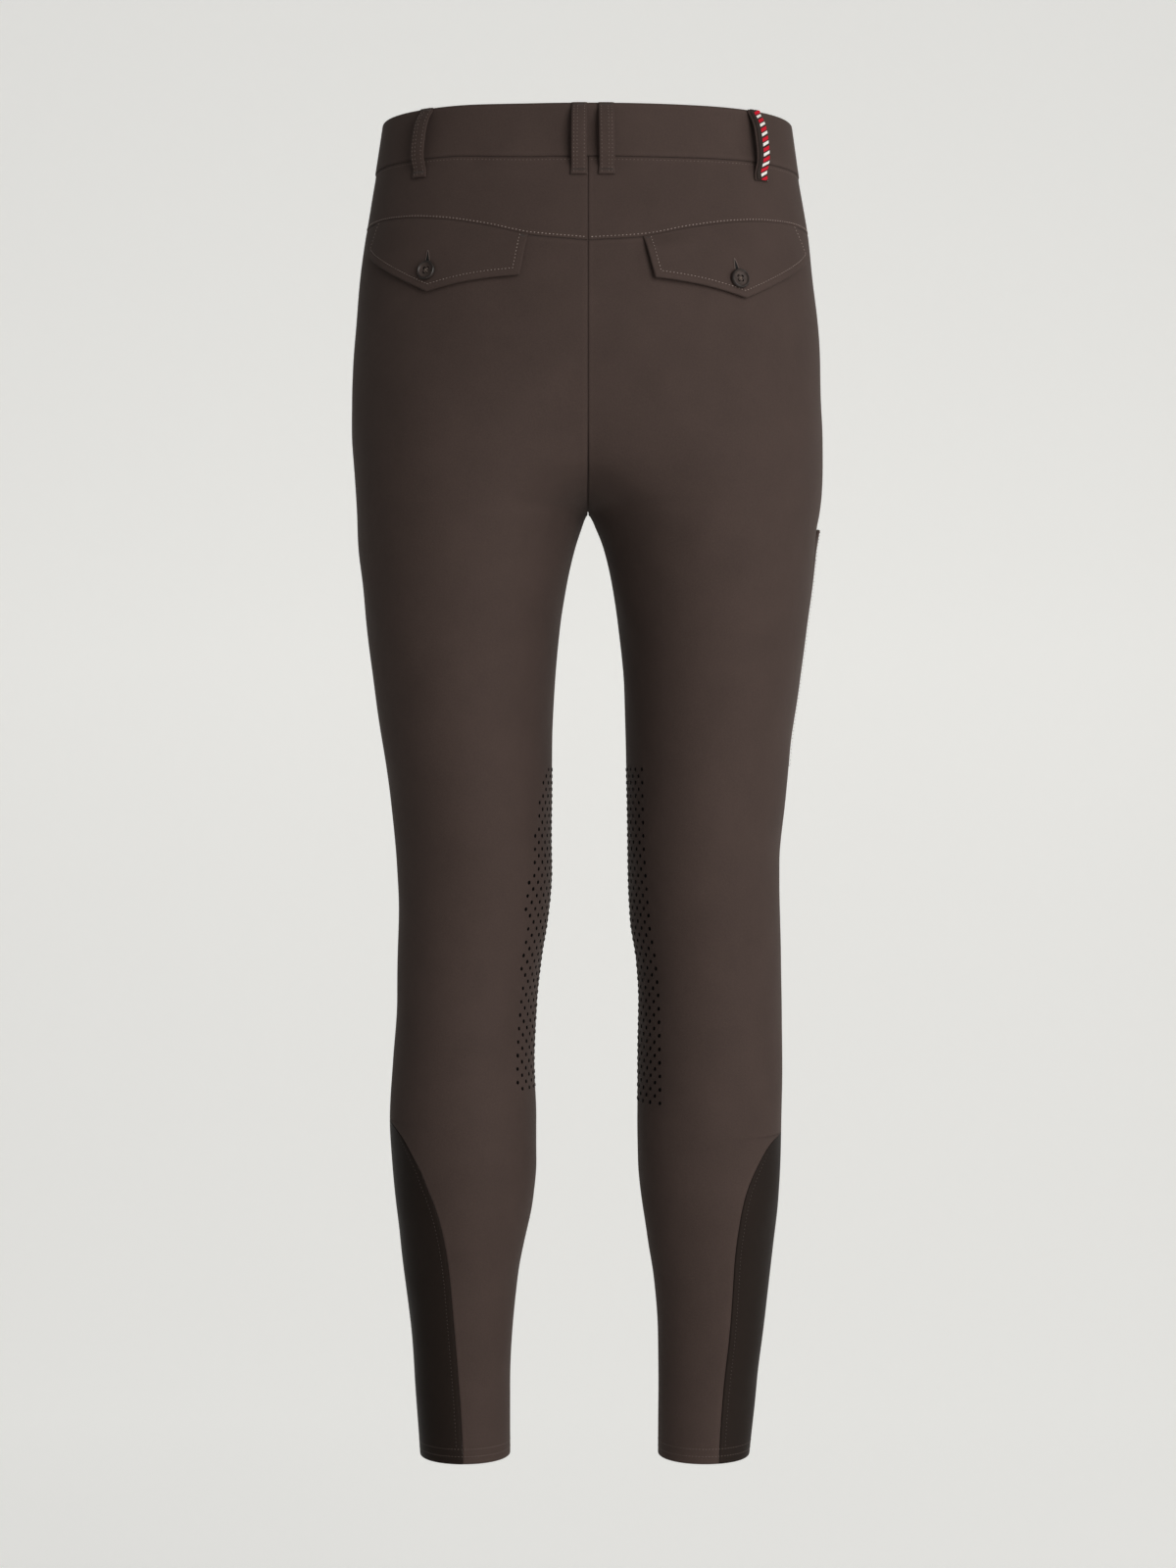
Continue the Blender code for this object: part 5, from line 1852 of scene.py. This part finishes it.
# Operators ------------------------------------------------------------------------------


class BREECHES_OT_stage(bpy.types.Operator):
    """Adds the backdrop, the camera and the studio light"""

    bl_idname = "breeches.stage"
    bl_label = "Stage"

    def execute(self, context):
        context.scene.view_settings.view_transform = "Standard"
        add_camera()
        add_world()
        add_backdrop()
        aim = (0.0, 0.0, -0.5)
        add_light("key_light", (1.43, -2.47, 0.1), aim, (1.8, 2.6), 61.0)
        add_light("side_light", (2.81, -0.5, 0.1), aim, (1.8, 2.6), 16.0)
        return {"FINISHED"}


class BREECHES_OT_legs(bpy.types.Operator):
    """Makes the back and front panels of both legs"""

    bl_idname = "breeches.legs"
    bl_label = "Leg panels"

    def execute(self, context):
        cloth = context.scene.breeches_sizes.cloth / MM
        for side, name in SIDE_NAMES:
            add_back(side, name, cloth)
            add_front(side, name, cloth)
        return {"FINISHED"}


class BREECHES_OT_seat(bpy.types.Operator):
    """Makes the two halves of the yoke, and the sewn edges inside the centre seams"""

    bl_idname = "breeches.seat"
    bl_label = "Yoke"

    def execute(self, context):
        for side, name in SIDE_NAMES:
            add_yoke(side, name, context.scene.breeches_sizes.cloth / MM)
        add_seam_allowance("seat_seam_allowance", -84.0, False)
        add_seam_allowance("front_seam_allowance", -196.0, True)
        return {"FINISHED"}


class BREECHES_OT_calves(bpy.types.Operator):
    """Makes the knit panels at the calves"""

    bl_idname = "breeches.calves"
    bl_label = "Calf panels"

    def execute(self, context):
        for side, name in SIDE_NAMES:
            add_calf_panel(side, name, context.scene.breeches_sizes.stretch_cloth / MM)
        return {"FINISHED"}


class BREECHES_OT_waistband(bpy.types.Operator):
    """Makes the waistband with its lap, and the sewn edge inside its seam"""

    bl_idname = "breeches.waistband"
    bl_label = "Waistband"

    def execute(self, context):
        sizes = context.scene.breeches_sizes
        add_waistband(sizes.band_cloth / MM)
        add_waist_allowance(sizes.cloth / MM, sizes.band_cloth / MM)
        return {"FINISHED"}


class BREECHES_OT_pockets(bpy.types.Operator):
    """Makes the seat pockets' flaps and the thigh pocket"""

    bl_idname = "breeches.pockets"
    bl_label = "Flaps and thigh pocket"

    def execute(self, context):
        for side, name in SIDE_NAMES:
            add_flap(side, name)
        add_pocket(context.scene.breeches_sizes.cloth / MM)
        return {"FINISHED"}


class BREECHES_OT_loops(bpy.types.Operator):
    """Makes the belt loops and the ribbon on one of them"""

    bl_idname = "breeches.loops"
    bl_label = "Belt loops"

    def execute(self, context):
        for name, side, angle, bow in LOOPS:
            add_loop(name, side, angle, bow)
            if name == TAPED_LOOP:
                add_tape(side, angle, bow)
        return {"FINISHED"}


class BREECHES_OT_buttons(bpy.types.Operator):
    """Makes the three buttons with their threads and buttonholes"""

    bl_idname = "breeches.buttons"
    bl_label = "Buttons"

    def execute(self, context):
        spots = button_spots()
        for spot in spots:
            add_button(*spot)
        add_button_threads(spots)
        add_buttonholes(stitch_tree())
        return {"FINISHED"}


class BREECHES_OT_stitching(bpy.types.Operator):
    """Sews the topstitching and the bar tacks"""

    bl_idname = "breeches.stitching"
    bl_label = "Stitching"

    def execute(self, context):
        tree = stitch_tree()
        for name, lines, *how in STITCHING:
            sew(tree, name, lines(), *how)
        return {"FINISHED"}


class BREECHES_OT_grip(bpy.types.Operator):
    """Prints the silicone dots round the inside of both knees"""

    bl_idname = "breeches.grip"
    bl_label = "Grip dots"

    def execute(self, context):
        tree = dot_tree()
        for side, name in SIDE_NAMES:
            add_grip(side, name, tree)
        return {"FINISHED"}


OPERATORS = (
    BREECHES_OT_stage,
    BREECHES_OT_legs,
    BREECHES_OT_seat,
    BREECHES_OT_calves,
    BREECHES_OT_waistband,
    BREECHES_OT_pockets,
    BREECHES_OT_loops,
    BREECHES_OT_buttons,
    BREECHES_OT_stitching,
    BREECHES_OT_grip,
)


class BREECHES_PT_panel(bpy.types.Panel):
    """Lists the pieces and the settings they are made from"""

    bl_idname = "BREECHES_PT_panel"
    bl_label = "Riding Breeches"
    bl_space_type = "VIEW_3D"
    bl_region_type = "UI"
    bl_category = "Breeches"

    def draw(self, context):
        for operator in OPERATORS:
            self.layout.operator(operator.bl_idname)
        for group in (context.scene.breeches_sizes, context.scene.breeches_colours):
            for name in group.bl_rna.properties.keys():
                if name not in ("rna_type", "name"):
                    self.layout.prop(group, name)


CLASSES = (BreechesSizes, BreechesColours, *OPERATORS, BREECHES_PT_panel)


def register():
    for made in CLASSES:
        bpy.utils.register_class(made)
    bpy.types.Scene.breeches_sizes = PointerProperty(type=BreechesSizes)
    bpy.types.Scene.breeches_colours = PointerProperty(type=BreechesColours)


def unregister():
    del bpy.types.Scene.breeches_colours
    del bpy.types.Scene.breeches_sizes
    for made in reversed(CLASSES):
        bpy.utils.unregister_class(made)


def main():
    """Makes every piece and the stage, and works out the boxes of the frame and the dressed part."""
    register()
    bpy.ops.breeches.stage()
    bpy.ops.breeches.legs()
    bpy.ops.breeches.seat()
    bpy.ops.breeches.calves()
    bpy.ops.breeches.waistband()
    bpy.ops.breeches.pockets()
    bpy.ops.breeches.loops()
    bpy.ops.breeches.buttons()
    bpy.ops.breeches.stitching()
    bpy.ops.breeches.grip()
    boxes = {"frame": FRAME_BOX, "dressed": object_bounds()}
    {name: [list(corner) for corner in box] for name, box in boxes.items()}


if __name__ == "__main__":
    main()
